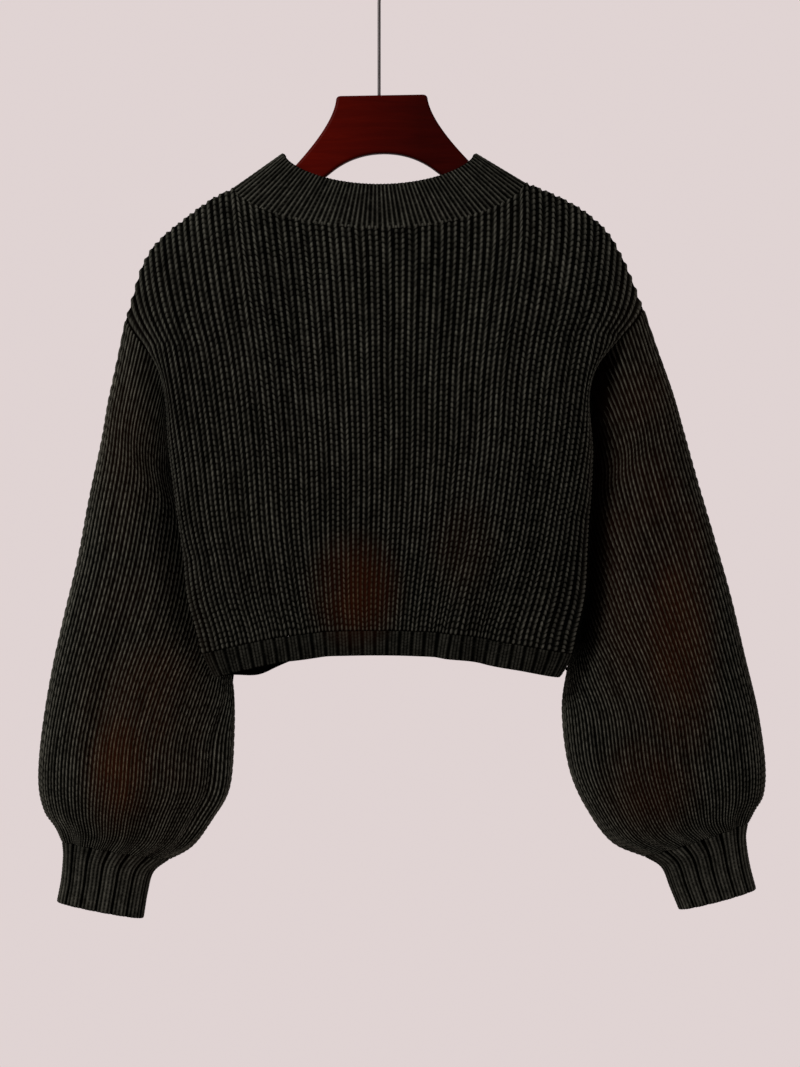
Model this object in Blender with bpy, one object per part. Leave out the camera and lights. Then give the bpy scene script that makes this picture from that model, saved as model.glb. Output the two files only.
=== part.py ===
"""Cropped rib-knit sweater hanging on a wooden hanger, built from its sizes.

Metres, +Z up, the front faces -Y, left and right are as seen from the front.
The origin is the inner top of the hanger's hook, where a rail carries it.
Each cloth piece is a wall: ribs raised on the outer face, plain inside.
"""
import math

import bmesh
import bpy
import numpy as np

COLLECTION = "cropped_knit_sweater"

# ------------------------------------------------------------ cloth sizes
SEAM_GAP = 0.0003
WALL = 0.0021
BAND_WALL = 0.0026
RIB_RELIEF = 0.0021

PANEL_RIBS = 42
SLEEVE_RIBS = 48
CUFF_RIBS = 26
NECK_RIBS = 52
HEM_RIBS = 28

# Where the rows of each wall lie, from its lower or first edge (0) to its last (1).
PANEL_LEVELS = np.array([0.0, 0.12, 0.28, 0.45, 0.60, 0.72, 0.83, 0.92, 0.975, 1.0])
SLEEVE_LEVELS = np.array([0.0, 0.07, 0.19, 0.31, 0.43, 0.55, 0.66, 0.76, 0.85, 0.93, 1.0])
BAND_LEVELS = np.array([0.0, 0.5, 1.0])
CUFF_LEVELS = np.array([0.0, 1 / 3, 2 / 3, 1.0])

# ------------------------------------------------------------ the body
NECK_PANEL_RIBS = 22        # ribs of each panel that end at the neck
NECK_SHARE = NECK_PANEL_RIBS / PANEL_RIBS
NECK_HALF = 0.139
NECK_SIDE_Z = -0.2355
NECK_FRONT_Z = -0.2805
NECK_BACK_Z = -0.2680
NECK_BASE_DEPTH = 0.034
NECK_BASE_ROUND = 0.95
NECK_FLATNESS = 0.6         # how level the neckline runs before it rises at the sides
SHOULDER_CAP = 0.110        # height of the round over the hanger's arms
SIDE_ROUND = 3.5            # a higher power makes the body flatter, with tighter sides
ARMHOLE_LEVEL = 0.60        # height of the underarm, as a share of the side edge
ARMHOLE_DEPTH = 0.036
ARMHOLE_POWER = 2.2
HEM_BAND = 0.0235
HEM_MIDDLE_Z = -0.6877
HEM_SIDE_DROP = 0.024
HEM_POWER = 2.4
BACK_HEM_SAG = (-0.76, 0.16, 0.010)     # where along the panel, how wide, how low


def table(names, rows):
    """A dictionary of columns from rows of numbers."""
    return dict(zip(names.split(), np.array(rows, float).T))


# One row for each level of the flattened body, hem to shoulder: its two side edges,
# where its middle rib lies, the half width that the other ribs fan to, and the depth
# of each face.
BODY = table("z left right middle fan front back", [
    (-0.720, -0.155, 0.170, -0.0015, 0.150, 0.032, 0.029),
    (-0.690, -0.171, 0.187, -0.0015, 0.154, 0.033, 0.030),
    (-0.665, -0.178, 0.193, -0.0014, 0.160, 0.034, 0.030),
    (-0.639, -0.185, 0.199, -0.0010, 0.172, 0.035, 0.031),
    (-0.581, -0.1905, 0.2025, 0.0015, 0.196, 0.037, 0.032),
    (-0.498, -0.201, 0.2055, 0.0045, 0.215, 0.038, 0.033),
    (-0.415, -0.209, 0.208, 0.0050, 0.231, 0.038, 0.034),
    (-0.361, -0.243, 0.253, 0.0063, 0.2425, 0.037, 0.033),
    (-0.300, -0.254, 0.265, 0.0080, 0.249, 0.035, 0.032),
    (-0.225, -0.254, 0.265, 0.0080, 0.252, 0.034, 0.031),
])

# The shoulder's ridge from the neck out to the dropped tip.
LEFT_RIDGE = table("x z", [
    (-0.139, -0.2380), (-0.162, -0.2499), (-0.178, -0.2614), (-0.193, -0.2730),
    (-0.207, -0.2845), (-0.218, -0.2960), (-0.2300, -0.3190), (-0.2368, -0.3420),
    (-0.2445, -0.3670),
])
RIGHT_RIDGE = table("x z", [
    (0.139, -0.2330), (0.165, -0.2435), (0.185, -0.2535), (0.1985, -0.2620),
    (0.2120, -0.2730), (0.2220, -0.2845), (0.2350, -0.3075), (0.2448, -0.3306),
    (0.2545, -0.3555),
])

# Soft upright folds above the hem: face (-1 front, 1 back), place across the
# panel, half width, height (out is positive) and how far up it fades. A fold that
# stands out spreads its ribs, and one that lies in gathers them.
FLUTE_SPREAD = 0.9
FLUTES = table("face place width height reach", [
    (-1, -0.520, 0.090, 0.0045, 0.130),
    (-1, -0.320, 0.090, -0.0055, 0.130),
    (-1, 0.365, 0.075, -0.0040, 0.120),
    (-1, 0.475, 0.075, 0.0045, 0.120),
    (-1, 0.620, 0.080, -0.0050, 0.110),
    (-1, 0.780, 0.080, 0.0030, 0.090),
    (1, -0.620, 0.100, 0.0045, 0.110),
    (1, -0.230, 0.100, -0.0050, 0.130),
    (1, 0.140, 0.110, 0.0050, 0.120),
    (1, 0.560, 0.100, -0.0045, 0.100),
])

# ------------------------------------------------------------ the sleeves
# One row for each ring below the armhole: its outer end, its inner end (which
# slips behind the body), the half depth of the flattened tube, and how far its ribs
# are gathered: at 0 they keep their width from the outer end, at 1 they are even.
SLEEVE_FLAT = 0.197         # half way around the cloth, where its ribs keep their width
MOST_PRESSED = 1.40         # how far ribs may outrun even ones before they press together
SLEEVE_COLUMNS = "outer_x outer_y outer_z inner_x inner_y inner_z depth gather"
LEFT_SLEEVE = table(SLEEVE_COLUMNS, [
    (-0.2575, 0.000, -0.4345, -0.1980, 0.018, -0.5320, 0.027, 0),
    (-0.2675, 0.002, -0.4850, -0.1850, 0.035, -0.5630, 0.029, 0),
    (-0.2795, 0.004, -0.5390, -0.1780, 0.041, -0.6020, 0.031, 0),
    (-0.2905, 0.006, -0.5960, -0.1680, 0.044, -0.6420, 0.032, 0),
    (-0.3045, 0.008, -0.6530, -0.1530, 0.046, -0.6830, 0.033, 0),
    (-0.3175, 0.010, -0.7110, -0.1425, 0.043, -0.7250, 0.035, 0),
    (-0.3265, 0.010, -0.7690, -0.1410, 0.036, -0.7700, 0.037, 0),
    (-0.3290, 0.010, -0.8120, -0.1450, 0.030, -0.8190, 0.036, 0.15),
    (-0.3235, 0.010, -0.8390, -0.1605, 0.025, -0.8480, 0.031, 0.45),
    (-0.3125, 0.010, -0.8560, -0.1800, 0.021, -0.8730, 0.026, 0.8),
    (-0.3065, 0.010, -0.8680, -0.2035, 0.018, -0.8865, 0.0210, 1),
])
RIGHT_SLEEVE = table(SLEEVE_COLUMNS, [
    (0.2785, 0.000, -0.4285, 0.2060, 0.018, -0.5230, 0.027, 0),
    (0.2920, 0.002, -0.4710, 0.1970, 0.035, -0.5520, 0.029, 0),
    (0.3065, 0.004, -0.5210, 0.1960, 0.038, -0.5900, 0.031, 0),
    (0.3220, 0.006, -0.5730, 0.1960, 0.040, -0.6310, 0.032, 0),
    (0.3385, 0.008, -0.6300, 0.1920, 0.040, -0.6710, 0.033, 0),
    (0.3530, 0.010, -0.6900, 0.1820, 0.038, -0.7080, 0.035, 0),
    (0.3655, 0.010, -0.7430, 0.1770, 0.033, -0.7450, 0.037, 0),
    (0.3725, 0.010, -0.7930, 0.1830, 0.029, -0.7970, 0.036, 0.15),
    (0.3710, 0.010, -0.8230, 0.1985, 0.024, -0.8355, 0.031, 0.45),
    (0.3622, 0.010, -0.8400, 0.2240, 0.021, -0.8690, 0.026, 0.8),
    (0.3560, 0.010, -0.8500, 0.2570, 0.018, -0.8838, 0.0210, 1),
])

# Soft creases of the sleeves: share of the way around and down, slant (way
# around gained over the whole length), half width, half length and height.
SLEEVE_CREASES = table("around down slant width length height", [
    (0.15, 0.32, 0.60, 0.045, 0.20, 0.0045),
    (0.34, 0.30, 0.30, 0.050, 0.24, -0.0045),
    (0.16, 0.62, 0.20, 0.045, 0.18, -0.0055),
    (0.38, 0.70, 0.08, 0.040, 0.18, -0.0045),
    (0.30, 0.85, 0.00, 0.040, 0.12, -0.0045),
    (0.62, 0.35, -0.10, 0.050, 0.26, -0.0045),
    (0.80, 0.45, 0.06, 0.050, 0.28, 0.0045),
    (0.70, 0.78, 0.05, 0.045, 0.18, -0.0055),
    (0.87, 0.82, 0.00, 0.040, 0.14, -0.0045),
])

# The underarm's fold, where a sleeve's wall thins: share around, share down, thinning.
FOLD_WIDTH = 0.07
FOLD_LENGTH = 0.12
FOLD_THINNING = 0.90

# ------------------------------------------------------------ bands
LEFT_CUFF = table(SLEEVE_COLUMNS, [
    (-0.3058, 0.010, -0.8830, -0.2180, 0.017, -0.8990, 0.0185, 1),
    (-0.3075, 0.010, -0.9050, -0.2235, 0.0165, -0.9190, 0.0170, 1),
    (-0.3115, 0.010, -0.9270, -0.2275, 0.016, -0.9440, 0.0165, 1),
])
RIGHT_CUFF = table(SLEEVE_COLUMNS, [
    (0.3545, 0.010, -0.8655, 0.2725, 0.017, -0.8945, 0.0185, 1),
    (0.3575, 0.010, -0.8890, 0.2805, 0.0165, -0.9140, 0.0170, 1),
    (0.3640, 0.010, -0.9150, 0.2895, 0.016, -0.9360, 0.0165, 1),
])

NECK_TOP_HALF = 0.0920
NECK_TOP_SIDE_Z = -0.2060
NECK_TOP_FRONT_Z = -0.2385
NECK_TOP_BACK_Z = -0.2370
NECK_TOP_DEPTH = 0.0225
NECK_TOP_ROUND = 0.55
NECK_LEAN = 0.5             # how far the seam's normal leans outward at the neck's sides
NECK_SEAM_GAP = 0.0006

# ------------------------------------------------------------ the hanger
BOARD_TOP_Z = -0.1520
BOARD_TOP_HALF = 0.0440
BOARD_CORNER = 0.0050
BOARD_THICKNESS = 0.0120
BOARD_BEVEL = 0.0025
BOARD_CENTRE_X = 0.0025
BOARD_TILT = math.radians(-1.0)
BOARD_NECK = ((0.0440, -0.1570), (0.0480, -0.1800), (0.0840, -0.2180))
BOARD_ARM_TOP = ((0.1190, -0.2415), (0.1620, -0.2630), (0.1780, -0.2730), (0.1900, -0.2825))
BOARD_END = ((0.1980, -0.2890), (0.1980, -0.3010), (0.1890, -0.3070))
BOARD_ARM_UNDER = ((0.1620, -0.2920), (0.1150, -0.2640), (0.0750, -0.2440))
BOARD_ARCH = ((0.0525, -0.2270), (0.0300, -0.2077), (0.0, -0.2077))

HOOK_WIRE = 0.0030
HOOK_INNER = 0.0190         # radius inside the bend
HOOK_JOIN = math.radians(50)        # how far the shank leans where it meets the bend
HOOK_JOIN_RADIUS = 0.0370
HOOK_WRAP = math.radians(262)
HOOK_STEP = math.radians(12)

# ------------------------------------------------------------ colours
KNIT = ("knit", (0.009, 0.009, 0.008), 0.95, 0.0)
WOOD = ("wood", (0.055, 0.010, 0.006), 0.35, 0.0)
STEEL = ("hook", (0.020, 0.018, 0.018), 0.35, 1.0)


# ------------------------------------------------------------ curves
def smooth(at, knots, values):
    """Values at `at` on a smooth curve through rising knots."""
    at = np.asarray(at, float)
    knots = np.asarray(knots, float)
    values = np.asarray(values, float)
    slopes = np.gradient(values, knots, axis=0)
    span = np.clip(np.searchsorted(knots, at) - 1, 0, len(knots) - 2)
    tail = (1,) * (values.ndim - 1)
    width = (knots[span + 1] - knots[span]).reshape(at.shape + tail)
    share = np.clip((at - knots[span]).reshape(at.shape + tail) / width, 0, 1)
    rise = share * share * (3 - 2 * share)
    start = share * (1 - share) ** 2 * width
    end = share * share * (share - 1) * width
    return (values[span] * (1 - rise) + values[span + 1] * rise
            + slopes[span] * start + slopes[span + 1] * end)


def unit(vectors):
    return vectors / np.maximum(np.linalg.norm(vectors, axis=-1, keepdims=True), 1e-12)


def lengths(points):
    """Length along an open run of points, at each of them."""
    steps = np.linalg.norm(np.diff(points, axis=0), axis=1)
    return np.concatenate([[0.0], np.cumsum(steps)])


def read(at, knots, values):
    """Points or vectors at `at` on straight lines between the given ones."""
    return np.stack([np.interp(at, knots, values[:, axis]) for axis in range(3)], axis=1)


def spread(length, count, flat=0.0, gather=0.0):
    """`count` places along a run: even, or the spacing of a run of `flat` metres at first."""
    share = np.linspace(0.0, 1.0, count)
    lead = 1 + (min(flat / length, MOST_PRESSED) - 1) * (1 - gather) if flat else 1.0
    return length * (lead * share + (1 - lead) * share ** 2)


def ring(front, back, count, flat=0.0, gather=0.0):
    """A closed ring of an even count: the front half, then the back half reversed."""
    halves = []
    for run in (front, back):
        length = lengths(run)
        halves.append(read(spread(length[-1], count // 2 + 1, flat, gather), length, run))
    return np.concatenate([halves[0], halves[1][::-1][1:-1]])


def seam_half(points, normals, count, flat):
    """Points and normals spread along a seam's edge, through all of its own points."""
    length = lengths(points)
    at = spread(length[-1], count, flat)
    for knot in length[1:-1]:
        at[1 + np.abs(at[1:-1] - knot).argmin()] = knot
    return read(at, length, points), read(at, length, normals)


def seam_ring(front, back, count, flat=0.0):
    """A ring along two seam edges, each of points and normals, with its own normals."""
    front_points, front_normals = seam_half(*front, count // 2 + 1, flat)
    back_points, back_normals = seam_half(*back, count // 2 + 1, flat)
    return (np.concatenate([front_points, back_points[::-1][1:-1]]),
            np.concatenate([front_normals, back_normals[::-1][1:-1]]))


# ------------------------------------------------------------ body surfaces
def ridge_place(ridge, share):
    """Points on a shoulder ridge, spaced half by length and half by width."""
    run = np.abs(np.diff(ridge["x"]))
    length = np.hypot(run, np.diff(ridge["z"]))
    mixed = 0.5 * run / run.sum() + 0.5 * length / length.sum()
    knots = np.concatenate([[0.0], np.cumsum(mixed)])
    return smooth(share, knots, ridge["x"]), smooth(share, knots, ridge["z"])


def neck_base(across, face):
    """The neck seam at `across` (-1 to 1 from left to right)."""
    rise = np.clip(1 - across * across, 0, 1)
    middle_z = NECK_FRONT_Z if face < 0 else NECK_BACK_Z
    side_z = NECK_SIDE_Z + across * (RIGHT_RIDGE["z"][0] - LEFT_RIDGE["z"][0]) / 2
    y = face * (SEAM_GAP / 2 + NECK_BASE_DEPTH * rise ** (NECK_BASE_ROUND / 2))
    return NECK_HALF * across, y, side_z + (middle_z - side_z) * rise ** NECK_FLATNESS


def top_edge(u, face):
    """Where the panel ends above: the neck seam, then the shoulder's ridge."""
    across = np.clip(u / NECK_SHARE, -1, 1)
    x, y, z = neck_base(across, face)
    share = np.clip((np.abs(u) - NECK_SHARE) / (1 - NECK_SHARE), 0, 1)
    left_x, left_z = ridge_place(LEFT_RIDGE, share)
    right_x, right_z = ridge_place(RIGHT_RIDGE, share)
    on_left = u <= -NECK_SHARE
    on_right = u >= NECK_SHARE
    x = np.where(on_left, left_x, np.where(on_right, right_x, x))
    z = np.where(on_left, left_z, np.where(on_right, right_z, z))
    y = np.where(on_left | on_right, face * SEAM_GAP / 2, y)
    return x, y, z


def hem_edge(u, face):
    """Height of the hem's lower edge."""
    z = HEM_MIDDLE_Z - HEM_SIDE_DROP * np.abs(u) ** HEM_POWER
    if face > 0:
        place, width, sag = BACK_HEM_SAG
        z = z - sag * np.exp(-((u - place) / width) ** 2) * (1 - u ** 8)
    return z


def folds(u, z, face):
    """How far the upright folds move the cloth outward, and how far across."""
    out, aside = 0.0, 0.0
    for fold_face, place, width, height, reach in zip(*FLUTES.values()):
        if fold_face == face:
            fade = np.clip(1 - (z - hem_edge(u, face)) / reach, 0, 1) ** 1.5
            away = (u - place) / width
            lift = height * np.exp(-away ** 2) * fade
            out, aside = out + lift, aside + FLUTE_SPREAD * lift * away
    return out, aside


def across_body(u, z, face):
    """x of the rib at `u` and level z."""
    middle = smooth(z, BODY["z"], BODY["middle"])
    fanned = middle + smooth(z, BODY["z"], BODY["fan"]) * np.sign(u)
    edge = np.where(u < 0, smooth(z, BODY["z"], BODY["left"]), smooth(z, BODY["z"], BODY["right"]))
    return middle + (fanned - middle) * np.abs(u) + (edge - fanned) * u ** 4 + folds(u, z, face)[1]


def armhole_share(u, z):
    """0 at the dropped tip, 1 at the underarm and below."""
    tip = LEFT_RIDGE["z"][-1] + (RIGHT_RIDGE["z"][-1] - LEFT_RIDGE["z"][-1]) * (u + 1) / 2
    low = HEM_MIDDLE_Z - HEM_SIDE_DROP + HEM_BAND + SEAM_GAP
    return np.clip((tip - z) / (tip - low) / (1 - ARMHOLE_LEVEL), 0, 1)


def body_depth(u, z, face):
    """y of the hanging body away from its top edge."""
    depth = smooth(z, BODY["z"], BODY["front" if face < 0 else "back"])
    open_share = 1 - armhole_share(u, z) ** ARMHOLE_POWER
    edge = SEAM_GAP / 2 + ARMHOLE_DEPTH * open_share
    roundness = 0.5 + 0.5 * open_share
    side = np.clip(1 - np.abs(u) ** SIDE_ROUND, 0, 1) ** roundness
    return face * (edge + (depth - edge + folds(u, z, face)[0]) * side)


def panel(u, v, face):
    """Outer face of the front (face -1) or back (1): u across, v from hem seam to top."""
    u, v = np.meshgrid(u, v)
    top_x, top_y, top_z = top_edge(u, face)
    low = hem_edge(u, face) + HEM_BAND + SEAM_GAP
    z = low + (top_z - low) * v
    x = across_body(u, z, face) + (top_x - across_body(u, top_z, face)) * v ** 3
    drop = np.clip((top_z - z) / SHOULDER_CAP, 0, 1)
    over_arm = np.sqrt(np.clip(1 - (1 - drop) ** 2, 0, 1))
    below_neck = 1 - (1 - drop) ** 2
    ridge = np.clip(np.abs(u) / NECK_SHARE, 0, 1) ** 4
    settle = over_arm * ridge + below_neck * (1 - ridge)
    y = top_y * (1 - settle) + body_depth(u, z, face) * settle
    return np.stack([x, y, z], axis=-1)


def hem_place(share, face):
    """The `u` of even shares (-1 to 1) of the hem band's width."""
    u = np.linspace(-1, 1, 2 * PANEL_RIBS + 1)
    x = across_body(u, hem_edge(u, face) + HEM_BAND, face)
    return np.interp(share, 2 * (x - x[0]) / (x[-1] - x[0]) - 1, u)


def hem_band(u, v, face):
    """Outer face of half the hem band, v from its lower edge to the hem seam."""
    u, v = np.meshgrid(u, v)
    z = hem_edge(u, face) + HEM_BAND * v
    return np.stack([across_body(u, z, face), body_depth(u, z, face), z], axis=-1)


# ------------------------------------------------------------ tube surfaces
def section(rows, index, count):
    """The flattened ring of one table row, starting at its outer end."""
    row = {name: values[index] for name, values in rows.items()}
    outer = np.array([row["outer_x"], row["outer_y"], row["outer_z"]])
    inner = np.array([row["inner_x"], row["inner_y"], row["inner_z"]])
    middle, half = (outer + inner) / 2, (inner - outer) / 2
    along = unit(half)
    forward = np.array([0.0, -1.0, 0.0])
    forward = unit(forward - along * forward.dot(along))
    turn = np.linspace(0, math.pi, 65)[:, None]
    bulge = row["depth"] * np.sin(turn) ** 0.85 * forward
    chord = middle - np.cos(turn) * half
    return ring(chord + bulge, chord - bulge, count, SLEEVE_FLAT, row["gather"])


def armhole(side, count):
    """The ring of the armhole seam, from the dropped tip around the underarm."""
    v = PANEL_LEVELS[PANEL_LEVELS >= ARMHOLE_LEVEL][::-1]
    edge = np.array([float(side)])
    return ring(panel(edge, v, -1)[:, 0], panel(edge, v, 1)[:, 0], count, SLEEVE_FLAT)


def sleeve_rings(side, count):
    rows = LEFT_SLEEVE if side < 0 else RIGHT_SLEEVE
    rings = [armhole(side, count)]
    rings += [section(rows, index, count) for index in range(len(rows["depth"]))]
    rings[0] = rings[0] + SEAM_GAP * unit(rings[1] - rings[0])
    return np.array(rings)


def tube(rings, v):
    """Rings at `v` (0 to 1) on the smooth tube through the given ones."""
    return smooth(v, np.linspace(0, 1, len(rings)), rings)


def sleeve(side, count, v):
    """Outer face of a sleeve, v from armhole to cuff seam, with its creases."""
    rings = sleeve_rings(side, count)
    points = tube(rings, v)
    out = outward(points, tube_normals(rings, v))
    around = (np.arange(count) / count)[None, :]
    down = np.asarray(v)[:, None]
    lift = np.zeros(points.shape[:2])
    for place, level, slant, width, length, height in zip(*SLEEVE_CREASES.values()):
        away = around - place - slant * (down - level)
        away = away - np.round(away)
        lift += height * np.exp(-(away / width) ** 2 - ((down - level) / length) ** 2)
    lift *= np.clip(down / 0.10, 0, 1) * np.clip((1 - down) / 0.06, 0, 1)
    return points + out * lift[..., None]


def cuff_rings(side, count):
    """The last ring of the sleeve, and the rings of its cuff."""
    sleeve_rows, rows = (LEFT_SLEEVE, LEFT_CUFF) if side < 0 else (RIGHT_SLEEVE, RIGHT_CUFF)
    rings = [section(sleeve_rows, len(sleeve_rows["depth"]) - 1, count)]
    rings += [section(rows, index, count) for index in range(len(rows["depth"]))]
    rings[0] = rings[0] + SEAM_GAP * unit(rings[1] - rings[0])
    return np.array(rings)


def neck_loop(top, count):
    """The neckband's lower or upper ring, from its left side around the front."""
    turn = np.linspace(0, math.pi, 97)
    across = -np.cos(turn)
    halves = []
    for face in (-1, 1):
        if top:
            rise = np.sin(turn)
            middle_z = NECK_TOP_FRONT_Z if face < 0 else NECK_TOP_BACK_Z
            z = NECK_TOP_SIDE_Z + (middle_z - NECK_TOP_SIDE_Z) * rise ** (2 * NECK_FLATNESS)
            x = NECK_TOP_HALF * across
            y = face * NECK_TOP_DEPTH * rise ** NECK_TOP_ROUND
        else:
            x, y, z = neck_base(across, face)
            y = y - face * SEAM_GAP / 2
        halves.append(np.stack([x, y, z], axis=-1))
    return ring(halves[0], halves[1], count)


def neck_rings(count):
    low, high = neck_loop(False, count), neck_loop(True, count)
    low = low + SEAM_GAP * unit(high - low)
    return np.array([low, low * 0.5 + high * 0.5, high])


# ------------------------------------------------------------ walls
def outward(points, normals):
    """The normals turned to point away from the middle of each ring or panel."""
    middle = points.mean(axis=1, keepdims=True)
    return normals * np.sign(np.sum(normals * (points - middle)))


def tube_normals(rings, v):
    step = 0.004
    v = np.asarray(v)
    down = tube(rings, np.minimum(v + step, 1)) - tube(rings, np.maximum(v - step, 0))
    points = tube(rings, v)
    around = np.roll(points, -1, axis=1) - np.roll(points, 1, axis=1)
    return unit(np.cross(around, down))


def panel_normals(surface, u, v, face):
    """Outward normals of a panel, level along the shoulder and side seams."""
    step = 0.002
    across = (surface(np.minimum(u + step, 1), v, face) - surface(np.maximum(u - step, -1), v, face))
    upward = (surface(u, np.minimum(v + step, 1), face) - surface(u, np.maximum(v - step, 0), face))
    normals = unit(np.cross(across, upward))
    normals *= np.sign(normals[..., 1].sum()) * face
    grid_u, grid_v = np.meshgrid(u, v)
    points = surface(u, v, face)
    normals[:, 1:-1] = normals[:, :-2] + 2 * normals[:, 1:-1] + normals[:, 2:]
    side_seam = (np.abs(grid_u) > 0.999) & (armhole_share(grid_u, points[..., 2]) > 0.999)
    shoulder_seam = (grid_v > 0.999) & (np.abs(grid_u) > NECK_SHARE + 1e-9) & (surface is panel)
    normals[side_seam | shoulder_seam, 1] = 0.0
    return unit(normals)


def seam_normals(seam, below, above):
    """Outward normals across the neck seam, from the cloth a little below and above."""
    found = unit(np.cross(np.gradient(seam, axis=0), above - below))
    outside = seam * (1, 4, 0) + (0, 0, 0.03)
    return found * np.sign(np.sum(found * outside, axis=-1, keepdims=True))


def nearest(points, others):
    """For each point the nearest of the others."""
    apart = np.linalg.norm(points[:, None] - others[None, :], axis=-1)
    return apart.argmin(axis=1)


def strip(mesh, dense, sparse, every, closed):
    """Faces between a row of points and one that holds one of every few of them."""
    steps = (len(dense) - (0 if closed else 1)) // every
    for step in range(steps):
        a, b = sparse[step], sparse[(step + 1) % len(sparse)]
        near = [dense[(step * every + offset) % len(dense)] for offset in range(every + 1)]
        middle = every // 2
        for offset in range(middle):
            mesh.faces.new((a, near[offset], near[offset + 1]))
        mesh.faces.new((a, near[middle], b))
        for offset in range(middle, every):
            mesh.faces.new((b, near[offset], near[offset + 1]))


def band(mesh, low, high, closed):
    """Quads between two rows of the same length."""
    count = len(low)
    for index in range(count if closed else count - 1):
        after = (index + 1) % count
        mesh.faces.new((low[index], low[after], high[after], high[index]))


def wall(name, finish, points, normals, thickness, every, closed):
    """A closed wall: ribbed outer rows, plain and sparser inner rows, rims between."""
    groove = (np.arange(points.shape[1]) % 2 == 0)[None, :, None]
    outer_points = points - normals * RIB_RELIEF * groove
    inner_points = points - normals * (RIB_RELIEF + thickness)
    mesh = bmesh.new()
    outer = [[mesh.verts.new(point) for point in row] for row in outer_points]
    last = len(outer) - 1
    inner = []
    for index, row in enumerate(inner_points):
        chosen = row if index in (0, last) else row[::every]
        inner.append([mesh.verts.new(point) for point in chosen])
    for index in range(last):
        band(mesh, outer[index], outer[index + 1], closed)
    for end in (0, last):
        band(mesh, outer[end], inner[end], closed)
    strip(mesh, inner[0], inner[1], every, closed)
    for index in range(1, last - 1):
        band(mesh, inner[index], inner[index + 1], closed)
    strip(mesh, inner[last], inner[last - 1], every, closed)
    if not closed:
        for column in (0, -1):
            for index in range(last):
                mesh.faces.new((outer[index][column], outer[index + 1][column],
                                inner[index + 1][column], inner[index][column]))
    bmesh.ops.recalc_face_normals(mesh, faces=mesh.faces)
    data = bpy.data.meshes.new(name)
    mesh.to_mesh(data)
    mesh.free()
    data.shade_smooth()
    data.set_sharp_from_angle(angle=math.radians(60))
    return place(bpy.data.objects.new(name, data), finish)


def place(piece, finish):
    """Put a piece in the collection with its own material."""
    label, colour, roughness, metallic = finish
    material = bpy.data.materials.new(piece.name + "_" + label)
    material.use_nodes = True
    shader = material.node_tree.nodes["Principled BSDF"]
    shader.inputs["Base Color"].default_value = (*colour, 1.0)
    shader.inputs["Roughness"].default_value = roughness
    shader.inputs["Metallic"].default_value = metallic
    piece.data.materials.append(material)
    bpy.data.collections[COLLECTION].objects.link(piece)
    return piece


# ------------------------------------------------------------ cloth pieces
def join_neck(panels, neck_points, neck_normals):
    """Give the neck seam one set of normals, and start the neckband from it."""
    columns = np.arange(PANEL_RIBS - NECK_PANEL_RIBS, PANEL_RIBS + NECK_PANEL_RIBS + 1)
    edges = []
    for face in (-1, 1):
        points, normals = panels[face]
        seam = points[-1, columns]
        above = neck_points[1][nearest(seam, neck_points[0])]
        found = seam_normals(seam, points[-3, columns], above)
        found[0] = unit(normals[-1, columns[0] - 1] + (-NECK_LEAN, 0, 0))
        found[-1] = unit(normals[-1, columns[-1] + 1] + (NECK_LEAN, 0, 0))
        normals[-1, columns] = found
        edges.append((seam, found))
    base, neck_normals[0] = seam_ring(*edges, 2 * NECK_RIBS)
    neck_points[0] = base + NECK_SEAM_GAP * unit(neck_points[1] - base)


def join_sleeve(side, panels, points, normals):
    """Give the armhole seam one set of normals, and start the sleeve from it.

    At the underarm the two walls lie back to back, so there each keeps its own
    side: the seam's normals turn one way for the body and the other for the sleeve.
    """
    column = 0 if side < 0 else -1
    levels = np.nonzero(PANEL_LEVELS >= ARMHOLE_LEVEL)[0]
    edges = []
    for face in (-1, 1):
        panel_points, panel_edge_normals = panels[face]
        chosen = panel_edge_normals[levels, column]
        seam = panel_points[levels, column]
        own = normals[0][nearest(seam, points[0])]
        both = unit(chosen + own)
        chosen[2:-1] = both[2:-1]
        chosen[1] = unit(both[1] * (0, 1, 0.5))
        panel_edge_normals[levels, column] = chosen
        edges.append((seam[::-1], chosen[::-1]))
    turn_z = panels[-1][0][levels[1], column, 2]
    base, found = seam_ring(*edges, 2 * SLEEVE_RIBS, SLEEVE_FLAT)
    found[base[:, 2] < turn_z, 0] *= -1
    normals[0] = found
    points[0] = base + SEAM_GAP * unit(points[1] - base)
    around = np.arange(2 * SLEEVE_RIBS) / (2 * SLEEVE_RIBS) - 0.5
    fold = np.exp(-(around[None, :] / FOLD_WIDTH) ** 2 - (SLEEVE_LEVELS[:, None] / FOLD_LENGTH) ** 2)
    normals *= (1 - FOLD_THINNING * fold)[..., None]


def build_body_and_sleeves():
    panel_u = np.linspace(-1, 1, 2 * PANEL_RIBS + 1)
    panels = {face: (panel(panel_u, PANEL_LEVELS, face),
                     panel_normals(panel, panel_u, PANEL_LEVELS, face)) for face in (-1, 1)}
    neck = neck_rings(2 * NECK_RIBS)
    neck_points = tube(neck, BAND_LEVELS)
    neck_normals = outward(neck_points, tube_normals(neck, BAND_LEVELS))
    join_neck(panels, neck_points, neck_normals)
    for side, name in ((-1, "sleeve_left"), (1, "sleeve_right")):
        points = sleeve(side, 2 * SLEEVE_RIBS, SLEEVE_LEVELS)
        rings = sleeve_rings(side, 2 * SLEEVE_RIBS)
        normals = outward(points, tube_normals(rings, SLEEVE_LEVELS))
        join_sleeve(side, panels, points, normals)
        wall(name, KNIT, points, normals, WALL, 2, True)
    for face, name in ((-1, "front_panel"), (1, "back_panel")):
        wall(name, KNIT, *panels[face], WALL, 4, False)
    wall("neckband", KNIT, neck_points, neck_normals, BAND_WALL, 4, True)


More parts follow.
